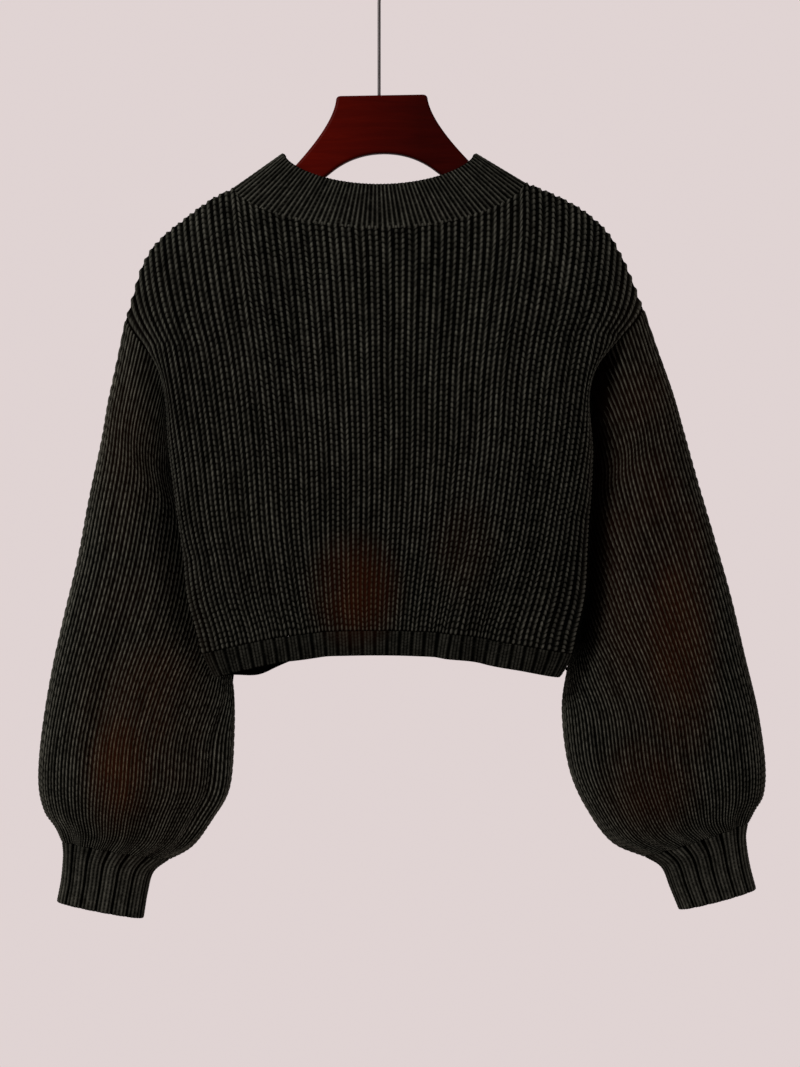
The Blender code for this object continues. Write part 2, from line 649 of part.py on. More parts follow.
def build_hem_and_cuffs():
    for face, name in ((-1, "hem_front"), (1, "hem_back")):
        hem_u = hem_place(np.linspace(-1, 1, 2 * HEM_RIBS + 1), face)
        points = hem_band(hem_u, BAND_LEVELS, face)
        normals = panel_normals(hem_band, hem_u, BAND_LEVELS, face)
        wall(name, KNIT, points, normals, BAND_WALL, 2, False)
    for side, name in ((-1, "cuff_left"), (1, "cuff_right")):
        rings = cuff_rings(side, 2 * CUFF_RIBS)
        points = tube(rings, CUFF_LEVELS)
        normals = outward(points, tube_normals(rings, CUFF_LEVELS))
        wall(name, KNIT, points, normals, BAND_WALL, 4, True)


# ------------------------------------------------------------ the hanger
def bezier(start, pull, end, count):
    """Points of a quadratic curve, without its start."""
    share = np.linspace(0, 1, count + 1)[1:, None]
    start, pull, end = np.array(start), np.array(pull), np.array(end)
    return (1 - share) ** 2 * start + 2 * share * (1 - share) * pull + share ** 2 * end


def board_half():
    """Half of the board's outline, from the middle of its top round to the arch."""
    top = (BOARD_TOP_HALF - BOARD_CORNER, BOARD_TOP_Z)
    corner = (BOARD_TOP_HALF, BOARD_TOP_Z)
    points = [np.array([top])]
    points.append(bezier(top, corner, BOARD_NECK[0], 3))
    points.append(bezier(*BOARD_NECK, 8))
    points.append(np.array(BOARD_ARM_TOP))
    points.append(bezier(BOARD_ARM_TOP[-1], *BOARD_END[:2], 3))
    points.append(bezier(BOARD_END[1], (BOARD_END[1][0], BOARD_END[2][1]), BOARD_END[2], 3))
    points.append(np.array(BOARD_ARM_UNDER))
    points.append(bezier(*BOARD_ARCH, 7))
    return np.concatenate(points)


def build_hanger_board():
    half = board_half()
    mirrored = half[-2::-1] * (-1, 1)
    outline = np.concatenate([half, mirrored])
    data = bpy.data.curves.new("hanger_board", "CURVE")
    data.dimensions = "2D"
    data.fill_mode = "BOTH"
    data.extrude = BOARD_THICKNESS / 2 - BOARD_BEVEL
    data.bevel_depth = BOARD_BEVEL
    data.bevel_resolution = 1
    data.offset = -BOARD_BEVEL
    spline = data.splines.new("POLY")
    spline.points.add(len(outline) - 1)
    for point, (x, z) in zip(spline.points, outline):
        point.co = (x, z - BOARD_TOP_Z, 0.0, 1.0)
    spline.use_cyclic_u = True
    board = place(bpy.data.objects.new("hanger_board", data), WOOD)
    board.rotation_euler = (math.radians(90), BOARD_TILT, 0.0)
    board.location = (BOARD_CENTRE_X, 0.0, BOARD_TOP_Z)


def build_hanger_hook():
    radius = HOOK_INNER + HOOK_WIRE / 2
    centre_z = -HOOK_INNER
    join_x = radius * math.cos(HOOK_JOIN)
    join_z = centre_z - radius * math.sin(HOOK_JOIN)
    bend_x = join_x - HOOK_JOIN_RADIUS * (1 - math.cos(HOOK_JOIN))
    bend_z = join_z - HOOK_JOIN_RADIUS * math.sin(HOOK_JOIN)
    points = [(bend_x, BOARD_TOP_Z + SEAM_GAP * 2), (bend_x, (BOARD_TOP_Z + bend_z) / 2)]
    for turn in np.linspace(0, HOOK_JOIN, 5)[:-1]:
        points.append((bend_x + HOOK_JOIN_RADIUS * (1 - math.cos(turn)),
                       bend_z + HOOK_JOIN_RADIUS * math.sin(turn)))
    for turn in np.arange(-HOOK_JOIN, HOOK_WRAP - HOOK_JOIN, HOOK_STEP):
        points.append((radius * math.cos(turn), centre_z + radius * math.sin(turn)))
    data = bpy.data.curves.new("hanger_hook", "CURVE")
    data.dimensions = "3D"
    data.bevel_depth = HOOK_WIRE / 2
    data.bevel_resolution = 2
    data.use_fill_caps = True
    spline = data.splines.new("POLY")
    spline.points.add(len(points) - 1)
    for point, (x, z) in zip(spline.points, points):
        point.co = (x, 0.0, z, 1.0)
    place(bpy.data.objects.new("hanger_hook", data), STEEL)


def main():
    for piece in list(bpy.data.objects):
        bpy.data.objects.remove(piece)
    collection = bpy.data.collections.new(COLLECTION)
    bpy.context.scene.collection.children.link(collection)
    build_body_and_sleeves()
    build_hem_and_cuffs()
    build_hanger_board()
    build_hanger_hook()


main()
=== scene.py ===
"""Looks of the cropped rib-knit sweater on its wooden hanger.

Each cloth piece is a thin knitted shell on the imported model's form: its ribs and
stitches are real relief, and the yarn's twist and fuzz come from its material.
Metres, +Z up, the front faces -Y, left and right are as seen from the front.
"""

import math

import bmesh
import bpy
import numpy as np
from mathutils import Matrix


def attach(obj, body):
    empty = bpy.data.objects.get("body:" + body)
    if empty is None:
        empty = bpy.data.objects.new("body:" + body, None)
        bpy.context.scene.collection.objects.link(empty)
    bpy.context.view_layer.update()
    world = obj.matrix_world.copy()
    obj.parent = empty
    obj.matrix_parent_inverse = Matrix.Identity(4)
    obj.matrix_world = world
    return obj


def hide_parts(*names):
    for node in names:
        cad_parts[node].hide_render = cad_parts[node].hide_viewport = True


# -------- the body's form
PANEL_RIBS, PANEL_STITCHES = 42, 76
NECK_SHARE = 22 / PANEL_RIBS  # share of each panel's ribs that end at the neck
NECK_HALF = 0.139
NECK_SIDE_Z = -0.2355
NECK_FRONT_Z = -0.2805
NECK_BACK_Z = -0.268
NECK_BASE_DEPTH = 0.034
NECK_BASE_ROUND = 0.95
NECK_FLATNESS = 0.6  # how level the neckline runs before it rises at the sides
SHOULDER_CAP = 0.11  # height of the round over the hanger's arms
SIDE_ROUND = 3.5  # a higher power makes the body flatter, with tighter sides
ARMHOLE_LEVEL = 0.6  # height of the underarm, as a share of the side edge
ARMHOLE_DEPTH = 0.036
ARMHOLE_POWER = 2.2
HEM_BAND = 0.0235
HEM_MIDDLE_Z = -0.6877
HEM_SIDE_DROP = 0.024
HEM_POWER = 2.4
BACK_HEM_SAG = (-0.76, 0.16, 0.01)  # where along the panel, how wide, how low
SEAM_GAP = 0.0003

KNIT_WALL = 0.0021  # cloth under the ribs
RIB_RELIEF = 0.0021  # height of the ribs
BAND_WALL = 0.0026


def table(names, rows):
    """A dictionary of columns from rows of numbers."""
    return dict(zip(names.split(), np.array(rows, float).T))


def sides(names, left, right):
    """Tables for the left side (-1) and the right side (1)."""
    return {-1: table(names, left), 1: table(names, right)}


# One row for each level of the flattened body, hem to shoulder: its two side edges,
# where its middle rib lies, half the width of its cloth, and the depth of each face.
# Where the cloth is wider than the body, its ribs press together at the sides.
BODY = table("z left right middle cloth front back", [
    (-0.72, -0.155, 0.17, -0.0015, 0.15, 0.032, 0.029),
    (-0.69, -0.171, 0.187, -0.0015, 0.154, 0.033, 0.03),
    (-0.665, -0.178, 0.193, -0.0014, 0.161, 0.034, 0.03),
    (-0.639, -0.185, 0.199, -0.001, 0.173, 0.035, 0.031),
    (-0.581, -0.1905, 0.2025, 0.0015, 0.195, 0.037, 0.032),
    (-0.498, -0.201, 0.2055, 0.0045, 0.211, 0.038, 0.033),
    (-0.415, -0.209, 0.208, 0.005, 0.223, 0.038, 0.034),
    (-0.361, -0.243, 0.253, 0.0063, 0.2345, 0.037, 0.033),
    (-0.3, -0.254, 0.265, 0.008, 0.246, 0.035, 0.032),
    (-0.225, -0.254, 0.265, 0.008, 0.252, 0.034, 0.031),
])

# The shoulder's ridge from the neck out to the dropped tip.
RIDGE = sides("x z", [
    (-0.139, -0.238), (-0.162, -0.2499), (-0.178, -0.2614), (-0.193, -0.273),
    (-0.207, -0.2845), (-0.218, -0.296), (-0.23, -0.319), (-0.2368, -0.342),
    (-0.2445, -0.367),
], [
    (0.139, -0.233), (0.165, -0.2435), (0.185, -0.2535), (0.1985, -0.262),
    (0.212, -0.273), (0.222, -0.2845), (0.235, -0.3075), (0.2448, -0.3306),
    (0.2545, -0.3555),
])
RIDGE_BY_WIDTH = 0.75  # ribs end there at even widths by this share, else at even lengths

# Share of a run where its ribs start to press together, if its cloth is wider.
BODY_EVEN = 0.95  # from the middle of the body to its side
SLEEVE_EVEN = 0.86  # from a sleeve's outer end to its inner one

# Soft upright folds above the hem: face (-1 front, 1 back), place across the
# panel, half width, height (out is positive) and how far up it fades. A fold that
# stands out spreads its ribs, and one that lies in gathers them.
FLUTE_SPREAD = 0.9
FLUTES = table("face place width height reach", [
    (-1, -0.52, 0.09, 0.0045, 0.13),
    (-1, -0.32, 0.09, -0.0055, 0.13),
    (-1, 0.365, 0.075, -0.004, 0.12),
    (-1, 0.475, 0.075, 0.0045, 0.12),
    (-1, 0.62, 0.08, -0.005, 0.11),
    (-1, 0.78, 0.08, 0.003, 0.09),
    (1, -0.62, 0.1, 0.0045, 0.11),
    (1, -0.23, 0.1, -0.005, 0.13),
    (1, 0.14, 0.11, 0.005, 0.12),
    (1, 0.56, 0.1, -0.0045, 0.1),
])

# -------- the sleeves' form
SLEEVE_RIBS, SLEEVE_STITCHES = 60, 64
SLEEVE_FLAT = 0.27  # half way around the cloth, where its ribs keep their width
ARMHOLE_FLAT = 0.3  # and at the armhole, which slants across the ribs
SECTION_ROUND = 0.85  # 1 is an ellipse, less is fuller near its ends

# One row for each ring below the armhole: its outer end, its inner end (which
# slips behind the body), the half depth of the flattened tube, and how far its ribs
# are gathered: at 0 they keep their width from the outer end, at 1 they are even.
RING_COLUMNS = "outer_x outer_y outer_z inner_x inner_y inner_z depth gather"
SLEEVE = sides(RING_COLUMNS, [
    (-0.2575, 0, -0.4345, -0.194, 0.022, -0.53, 0.027, 0),
    (-0.2675, 0.002, -0.485, -0.185, 0.035, -0.563, 0.029, 0),
    (-0.2795, 0.004, -0.539, -0.178, 0.041, -0.602, 0.031, 0.1),
    (-0.2905, 0.006, -0.596, -0.168, 0.044, -0.642, 0.032, 0.25),
    (-0.3045, 0.008, -0.653, -0.153, 0.046, -0.683, 0.033, 0.4),
    (-0.3175, 0.01, -0.711, -0.1425, 0.043, -0.725, 0.035, 0.7),
    (-0.3265, 0.01, -0.769, -0.141, 0.036, -0.77, 0.037, 1),
    (-0.329, 0.01, -0.812, -0.145, 0.03, -0.819, 0.036, 1),
    (-0.3235, 0.01, -0.839, -0.1605, 0.025, -0.848, 0.031, 1),
    (-0.3125, 0.01, -0.856, -0.18, 0.021, -0.873, 0.026, 1),
    (-0.3065, 0.01, -0.868, -0.2035, 0.018, -0.8865, 0.021, 1),
], [
    (0.2785, 0, -0.4285, 0.202, 0.022, -0.521, 0.027, 0),
    (0.292, 0.002, -0.471, 0.197, 0.035, -0.552, 0.029, 0),
    (0.3065, 0.004, -0.521, 0.196, 0.038, -0.59, 0.031, 0.1),
    (0.322, 0.006, -0.573, 0.196, 0.04, -0.631, 0.032, 0.25),
    (0.3385, 0.008, -0.63, 0.192, 0.04, -0.671, 0.033, 0.4),
    (0.353, 0.01, -0.69, 0.182, 0.038, -0.708, 0.035, 0.7),
    (0.3655, 0.01, -0.743, 0.177, 0.033, -0.745, 0.037, 1),
    (0.3725, 0.01, -0.793, 0.183, 0.029, -0.797, 0.036, 1),
    (0.371, 0.01, -0.823, 0.1985, 0.024, -0.8355, 0.031, 1),
    (0.3622, 0.01, -0.84, 0.224, 0.021, -0.869, 0.026, 1),
    (0.356, 0.01, -0.85, 0.257, 0.018, -0.8838, 0.021, 1),
])

# Soft creases of the sleeves: which sleeve (0 both), share of the way around and
# down, slant (way around gained over the whole length), half width, half length and
# height. The last three are the left sleeve's tighter folds, below its middle and
# along its inner edge.
SLEEVE_CREASES = table("sleeve around down slant width length height", [
    (0, 0.15, 0.32, 0.6, 0.045, 0.2, 0.0045),
    (0, 0.34, 0.3, 0.3, 0.05, 0.24, -0.0045),
    (0, 0.16, 0.62, 0.2, 0.045, 0.18, -0.0055),
    (0, 0.38, 0.7, 0.08, 0.04, 0.18, -0.0045),
    (0, 0.3, 0.85, 0, 0.04, 0.12, -0.0045),
    (0, 0.62, 0.35, -0.1, 0.05, 0.26, -0.0045),
    (0, 0.8, 0.45, 0.06, 0.05, 0.28, 0.0045),
    (0, 0.7, 0.78, 0.05, 0.045, 0.18, -0.0055),
    (0, 0.87, 0.82, 0, 0.04, 0.14, -0.0045),
    (-1, 0.145, 0.6, 0.02, 0.02, 0.17, -0.005),
    (-1, 0.425, 0.76, 0, 0.014, 0.2, -0.0045),
    (-1, 0.46, 0.76, 0, 0.014, 0.2, 0.003),
])

# Beside the body each sleeve (-1 left, 1 right) is drawn back into a hollow, with painted shade in it.
DRAWN_BACK = {-1: 0.007, 1: 0.017}  # how far back
DRAWN_SHADE = {-1: 0.5, 1: 0.97}  # how much of the yarn's tone the painted shade there takes away
SLEEVE_PAINTED_LIGHT = {-1: 1.4, 1: 1.2}  # painted light: the factor for its yarn's tone elsewhere, against the body's
DRAWN_PLACE = 0.006  # from the body's side to the hollow's middle
DRAWN_WIDTH = 0.015
DRAWN_EDGE = 0.2085  # the hollow follows the body's side no further out than this
DRAWN_LOW, DRAWN_HIGH, DRAWN_FADE = -0.705, -0.372, 0.03

# Short folds where a sleeve is gathered into its cuff.
GATHERS = 13
GATHER_HEIGHT = 0.0026
GATHER_START = 0.84  # share of the way down where they begin
CREASE_FADE = (0.1, 0.06)  # share of the sleeve's length where its creases fade at each end

# -------- the bands' form
CUFF_RIBS, CUFF_STITCHES = 26, 20
CUFF = sides(RING_COLUMNS, [
    (-0.3058, 0.01, -0.883, -0.218, 0.017, -0.899, 0.0185, 1),
    (-0.3075, 0.01, -0.905, -0.2235, 0.0165, -0.919, 0.017, 1),
    (-0.3115, 0.01, -0.927, -0.2275, 0.016, -0.944, 0.0165, 1),
], [
    (0.3545, 0.01, -0.8655, 0.2725, 0.017, -0.8945, 0.0185, 1),
    (0.3575, 0.01, -0.889, 0.2805, 0.0165, -0.914, 0.017, 1),
    (0.364, 0.01, -0.915, 0.2895, 0.016, -0.936, 0.0165, 1),
])

HEM_RIBS, HEM_STITCHES = 30, 8

NECK_RIBS, NECK_STITCHES = 64, 12
NECK_TOP_HALF = 0.092
NECK_TOP_SIDE_Z = -0.206
NECK_TOP_FRONT_Z = -0.2385
NECK_TOP_BACK_Z = -0.237
NECK_TOP_DEPTH = 0.0225
NECK_TOP_ROUND = 0.55

# -------- the knit
# Across one rib: where the mesh's columns lie, from valley to valley.
FINE_COLUMNS = (0.0, 0.11, 0.2, 0.27, 0.38, 0.5, 0.62, 0.73, 0.8, 0.89)
PLAIN_COLUMNS = (0.0, 0.13, 0.26, 0.39, 0.5, 0.61, 0.74, 0.87)
HEM_COLUMNS = (0.0, 0.08, 0.16, 0.23, 0.3, 0.36, 0.42, 0.5, 0.58, 0.64, 0.7, 0.77, 0.84, 0.92)
ROWS_PER_STITCH = 3
INNER_STEP = 12  # outer rows for each row of the plain inside


def rib_profile(*points):
    return table("side depth", points)


# Distance from the middle of the rib, as a share of its width, and the depth there
# as a share of the relief: the groove between a V's two legs, the leg, the valley.
# Through the hollow attribute, these depths also set the painted shade of each rib.
RIB = rib_profile(
    (0, 0.95), (0.11, 0.62), (0.17, 0.16), (0.235, 0), (0.3, 0.16), (0.38, 0.8), (0.5, 1))
NECK_RIB = rib_profile(
    (0, 0.8), (0.11, 0.62), (0.18, 0.32), (0.24, 0.13), (0.3, 0.34), (0.38, 0.76), (0.5, 0.95))
CUFF_RIB = rib_profile(
    (0, 0.7), (0.11, 0.5), (0.18, 0.14), (0.24, 0.02), (0.3, 0.14), (0.38, 0.55), (0.5, 0.8))
HEM_RIB = rib_profile(
    (0, 0.46), (0.08, 0.56), (0.14, 0.7), (0.2, 0.54), (0.27, 0.42), (0.34, 0.62),
    (0.42, 0.95), (0.5, 1.1))
LEG_EDGE = (0.31, 0.42)  # where the legs end and the purl stitches begin
CHEVRON = 0.45  # stitches by which a V's legs rise from its middle
STITCH_STAGGER = 0.25  # stitches by which odd ribs are raised and even ones lowered
STITCH_DRIFT = 0.45  # stitches by which ribs run out of step further along
STITCH_DIP = 0.0012  # depth of the notch between two stitches of a leg
SLEEVE_DIP = 0.0008  # in the finer knit of the sleeves
BAND_DIP = 0.0002  # and of the bands
PURL_RISE = 0.00055  # height of the purl bumps in the valleys
BUNDLE_DEPTH = 0.0018  # depth of the grooves that part a cuff's ribs into pairs
OPEN_RIB = 0.005  # ribs narrower than this are pressed flat
PRESSED_SHADE = 0.75  # painted shade on these, from 0 as on a rib's top to 1 as in a groove
LEVEL_STITCHES = 1.5  # over which the knit comes level at both ends
WOBBLE = 0.03  # how far a rib wanders, in ribs
HOLLOW_START = 0.06  # depth, as a share of the relief, where painted shade starts to darken the knit's hollows
HOLLOW_END = 0.7  # and where it is darkest
HOLLOW_SHADE = 0.02  # share of the yarn's colour that the painted shade leaves there
TONE_STREAK = 0.3  # how far the yarn's tone varies from rib to rib
TONE_SPECK = 0.42  # and from stitch to stitch
YARN_SCALE = np.array([11.0, 5.3])  # of the UV map: across half a rib, and along a stitch
NOISE_GRID = 64  # steps after which the knit's noise repeats
EDGE_ROLL = 0.0026  # radius of the soft round at a free edge
ROLL_SHARE = 0.8  # how much of that round's depth the edge has
NECK_LAP = 0.0025  # how far the neckband's foot laps the body
TUCK = 0.0035  # how far a sleeve reaches under the body at its seam
TUCK_SLOPE = 0.0055  # length over which it dips
TUCK_INSET = 0.0026  # and how deep


# -------- curves
def ease(share):
    return share * share * (3 - 2 * share)


def smooth(at, knots, values, column=()):
    """Values at `at` on a smooth curve through rising knots.

    Where `values` holds a curve in each column, `column` says which of them to follow.
    """
    slopes = np.gradient(values, knots, axis=0)
    span = np.clip(np.searchsorted(knots, at) - 1, 0, len(knots) - 2)
    width = knots[span + 1] - knots[span]
    share = np.clip((at - knots[span]) / width, 0, 1)
    if column:
        width, share = width[..., None], share[..., None]
    low, high = (span, *column), (span + 1, *column)
    rise = ease(share)
    start = share * (1 - share) ** 2 * width
    end = share * share * (share - 1) * width
    return values[low] * (1 - rise) + values[high] * rise + slopes[low] * start + slopes[high] * end


def along(rings, v):
    """Points at v (0 to 1, rows by columns) on the smooth tube through the rings."""
    return smooth(v, np.linspace(0, 1, len(rings)), rings, (np.arange(rings.shape[1])[None, :],))


def unit(vectors):
    return vectors / np.maximum(np.linalg.norm(vectors, axis=-1, keepdims=True), 1e-12)


def at_shares(points, shares):
    """Points of an open run, at shares of its length."""
    steps = np.linalg.norm(np.diff(points, axis=0), axis=1)
    length = np.concatenate([[0.0], np.cumsum(steps)])
    return np.stack([np.interp(shares * length[-1], length, axis) for axis in points.T], axis=1)


def pressed(share, fullness, even_until):
    """Where ribs lie on a run, for cloth `fullness` times as wide as it.

    They keep their own width until `even_until`, and press together beyond it. Cloth
    that is narrower than the run is stretched near its end.
    """
    place = share * fullness
    full = np.maximum(fullness, 1.0)
    crowd = np.clip((place - even_until) / (full - even_until), 0, 1)
    power = (full - even_until) / (1 - even_until)
    end = even_until + (1 - even_until) * (1 - (1 - crowd) ** power)
    stretched = place + (1 - fullness) * share ** 6
    return np.where(fullness > 1, np.where(place < even_until, place, end), stretched)


def spread(run, share, flat, gather):
    """Even shares of a run, moved to where ribs of `flat` metres of cloth lie on it."""
    length = np.linalg.norm(np.diff(run, axis=0), axis=1).sum()
    fullness = 1 + (flat / length - 1) * (1 - gather) if flat else 1.0
    return pressed(share, fullness, SLEEVE_EVEN)


def ring(front, back, around, flat=0.0, gather=0.0):
    """Points of a closed ring, at shares of the way around: front half, then back reversed."""
    on_front = around <= 0.5
    halves = [(front, around[on_front] * 2), (back, (1 - around[~on_front]) * 2)]
    return np.concatenate([at_shares(run, spread(run, share, flat, gather)) for run, share in halves])


# -------- body surfaces
def ridge_place(ridge, share):
    """Points on a shoulder ridge, spaced mostly by width."""
    run = np.abs(np.diff(ridge["x"]))
    length = np.hypot(run, np.diff(ridge["z"]))
    mixed = RIDGE_BY_WIDTH * run / run.sum() + (1 - RIDGE_BY_WIDTH) * length / length.sum()
    knots = np.concatenate([[0.0], np.cumsum(mixed)])
    return smooth(share, knots, ridge["x"]), smooth(share, knots, ridge["z"])


def neck_base(across, face):
    """The neck seam at `across` (-1 to 1 from left to right)."""
    rise = np.clip(1 - across * across, 0, 1)
    middle_z = NECK_FRONT_Z if face < 0 else NECK_BACK_Z
    side_z = NECK_SIDE_Z + across * (RIDGE[1]["z"][0] - RIDGE[-1]["z"][0]) / 2
    y = face * (SEAM_GAP / 2 + NECK_BASE_DEPTH * rise ** (NECK_BASE_ROUND / 2))
    return NECK_HALF * across, y, side_z + (middle_z - side_z) * rise ** NECK_FLATNESS


def top_edge(u, face):
    """Where the panel ends above: the neck seam, then the shoulder's ridge."""
    across = np.clip(u / NECK_SHARE, -1, 1)
    x, y, z = neck_base(across, face)
    share = np.clip((np.abs(u) - NECK_SHARE) / (1 - NECK_SHARE), 0, 1)
    beyond = [u <= -NECK_SHARE, u >= NECK_SHARE]
    ridge_x, ridge_z = zip(*(ridge_place(RIDGE[side], share) for side in (-1, 1)))
    y = np.where(beyond[0] | beyond[1], face * SEAM_GAP / 2, y)
    return np.select(beyond, ridge_x, x), y, np.select(beyond, ridge_z, z)


def hem_edge(u, face):
    """Height of the hem's lower edge."""
    z = HEM_MIDDLE_Z - HEM_SIDE_DROP * np.abs(u) ** HEM_POWER
    if face > 0:
        place, width, sag = BACK_HEM_SAG
        z = z - sag * np.exp(-((u - place) / width) ** 2) * (1 - u ** 8)
    return z


def folds(u, z, face):
    """How far the upright folds move the cloth outward, and how far across."""
    out, aside = 0.0, 0.0
    for fold_face, place, width, height, reach in zip(*FLUTES.values()):
        if fold_face == face:
            fade = np.clip(1 - (z - hem_edge(u, face)) / reach, 0, 1) ** 1.5
            away = (u - place) / width
            lift = height * np.exp(-away ** 2) * fade
            out, aside = out + lift, aside + FLUTE_SPREAD * lift * away
    return out, aside


def across_body(u, z, face):
    """x of the rib at `u` and level z."""
    middle = smooth(z, BODY["z"], BODY["middle"])
    left, right = smooth(z, BODY["z"], BODY["left"]), smooth(z, BODY["z"], BODY["right"])
    edge = np.where(u < 0, left, right) - middle
    fullness = smooth(z, BODY["z"], BODY["cloth"]) / np.abs(edge)
    return middle + edge * pressed(np.abs(u), fullness, BODY_EVEN) + folds(u, z, face)[1]


def armhole_share(u, z):
    """0 at the dropped tip, 1 at the underarm and below."""
    left, right = RIDGE[-1]["z"][-1], RIDGE[1]["z"][-1]
    tip = left + (right - left) * (u + 1) / 2
    low = HEM_MIDDLE_Z - HEM_SIDE_DROP + HEM_BAND + SEAM_GAP
    return np.clip((tip - z) / (tip - low) / (1 - ARMHOLE_LEVEL), 0, 1)


def body_depth(u, z, face):
    """y of the hanging body away from its top edge."""
    depth = smooth(z, BODY["z"], BODY["front" if face < 0 else "back"])
    open_share = 1 - armhole_share(u, z) ** ARMHOLE_POWER
    edge = SEAM_GAP / 2 + ARMHOLE_DEPTH * open_share
    roundness = 0.5 + 0.5 * open_share
    side = np.clip(1 - np.abs(u) ** SIDE_ROUND, 0, 1) ** roundness
    return face * (edge + (depth - edge + folds(u, z, face)[0]) * side)


def panel(u, v, face):
    """Outer face of the front (face -1) or back (1): u across, v from hem seam to top."""
    top_x, top_y, top_z = top_edge(u, face)
    low = hem_edge(u, face) + HEM_BAND + SEAM_GAP
    z = low + (top_z - low) * v
    x = across_body(u, z, face) + (top_x - across_body(u, top_z, face)) * v ** 3
    drop = np.clip((top_z - z) / SHOULDER_CAP, 0, 1)
    over_arm = np.sqrt(np.clip(1 - (1 - drop) ** 2, 0, 1))
    below_neck = 1 - (1 - drop) ** 2
    ridge = np.clip(np.abs(u) / NECK_SHARE, 0, 1) ** 4
    settle = over_arm * ridge + below_neck * (1 - ridge)
    y = top_y * (1 - settle) + body_depth(u, z, face) * settle
    return np.stack([x, y, z], axis=-1)


def hem_place(share, face):
    """The `u` of even shares (-1 to 1) of the hem band's width."""
    u = np.linspace(-1, 1, 2 * PANEL_RIBS + 1)
    x = across_body(u, hem_edge(u, face) + HEM_BAND, face)
    return np.interp(share, 2 * (x - x[0]) / (x[-1] - x[0]) - 1, u)


def hem_band(share, v, face):
    """Outer face of half the hem band, v from its lower edge to the panel."""
    u = hem_place(share, face)
    z = hem_edge(u, face) + HEM_BAND * v
    return np.stack([across_body(u, z, face), body_depth(u, z, face), z], axis=-1)


# -------- tube surfaces
def sections(rows, around):
    """The flattened ring of each table row, starting at its outer end."""
    turn = np.linspace(0, math.pi, 129)[:, None]
    rings = []
    for *ends, depth, gather in zip(*rows.values()):
        outer, inner = np.array(ends[:3]), np.array(ends[3:])
        middle, half = (outer + inner) / 2, (inner - outer) / 2
        lengthwise = unit(half)
        forward = np.array([0.0, -1.0, 0.0])
        forward = unit(forward - lengthwise * forward.dot(lengthwise))
        bulge = depth * np.sin(turn) ** SECTION_ROUND * forward
        chord = middle - np.cos(turn) * half
        rings.append(ring(chord + bulge, chord - bulge, around, SLEEVE_FLAT, gather))
    return rings


def armhole(side, around):
    """The ring of the armhole seam, from the dropped tip around the underarm."""
    v = np.linspace(1.0, ARMHOLE_LEVEL, 60)[:, None]
    edge = np.full(v.shape, float(side))
    return ring(panel(edge, v, -1)[:, 0], panel(edge, v, 1)[:, 0], around, ARMHOLE_FLAT)


def sleeve_rings(side, around):
    rings = [armhole(side, around)] + sections(SLEEVE[side], around)
    rings[0] = rings[0] - TUCK * unit(rings[1] - rings[0])
    return np.array(rings)


def cuff_rings(side, around):
    """The last ring of the sleeve, and the rings of its cuff."""
    rings = sections(SLEEVE[side], around)[-1:] + sections(CUFF[side], around)
    rings[0] = rings[0] + SEAM_GAP * unit(rings[1] - rings[0])
    return np.array(rings)


def neck_loop(top, around):
    """The neckband's lower or upper ring, from its left side around the front."""
    turn = np.linspace(0, math.pi, 193)
    across = -np.cos(turn)
    halves = []
    for face in (-1, 1):
        if top:
            rise = np.sin(turn)
            middle_z = NECK_TOP_FRONT_Z if face < 0 else NECK_TOP_BACK_Z
            z = NECK_TOP_SIDE_Z + (middle_z - NECK_TOP_SIDE_Z) * rise ** (2 * NECK_FLATNESS)
            x = NECK_TOP_HALF * across
            y = face * NECK_TOP_DEPTH * rise ** NECK_TOP_ROUND
        else:
            x, y, z = neck_base(across, face)
            y = y - face * SEAM_GAP / 2
        halves.append(np.stack([x, y, z], axis=-1))
    return ring(halves[0], halves[1], around)


def neck_rings(around):
    low, high = neck_loop(False, around), neck_loop(True, around)
    low = low - NECK_LAP * unit(high - low)
    return np.array([low, low * 0.5 + high * 0.5, high])


# -------- knitting
def value_noise(x, y, seed):
    """Smooth noise from -1 to 1 over the plane, one value for each whole step."""
    grid = np.random.default_rng(seed).uniform(-1, 1, (NOISE_GRID, NOISE_GRID))
    left, low = np.floor(x).astype(int), np.floor(y).astype(int)
    share_x, share_y = ease(x - left), ease(y - low)
    near, far = [grid[left % NOISE_GRID, row % NOISE_GRID] * (1 - share_x)
                 + grid[(left + 1) % NOISE_GRID, row % NOISE_GRID] * share_x for row in (low, low + 1)]
    return near * (1 - share_y) + far * share_y


def rib_lattice(ribs, stitches, columns, closed):
    """Rib and stitch coordinates (rows by columns) of a piece's mesh."""
    rib = (np.arange(ribs)[:, None] + np.array(columns)[None, :]).ravel()
    if not closed:
        rib = np.append(rib, float(ribs))
    stitch = np.arange(stitches * ROWS_PER_STITCH + 1) / ROWS_PER_STITCH
    rib, stitch = np.meshgrid(rib, stitch)
    return rib, stitch


def chevron(rib, stitch, stitches, seed):
    """The stitch coordinate with each V's legs raised, and level again at both ends."""
    side = np.abs(rib % 1 - 0.5)
    lift = CHEVRON * (np.minimum(side / 0.25, 1) - 0.5) + STITCH_STAGGER * np.sin(math.pi * rib)
    lift = lift + STITCH_DRIFT * value_noise(rib * 0.8 + 3, stitch * 0.08, seed + 90)
    from_end = np.minimum(stitch, stitches - stitch)
    return stitch + lift * np.clip(from_end / LEVEL_STITCHES, 0, 1)


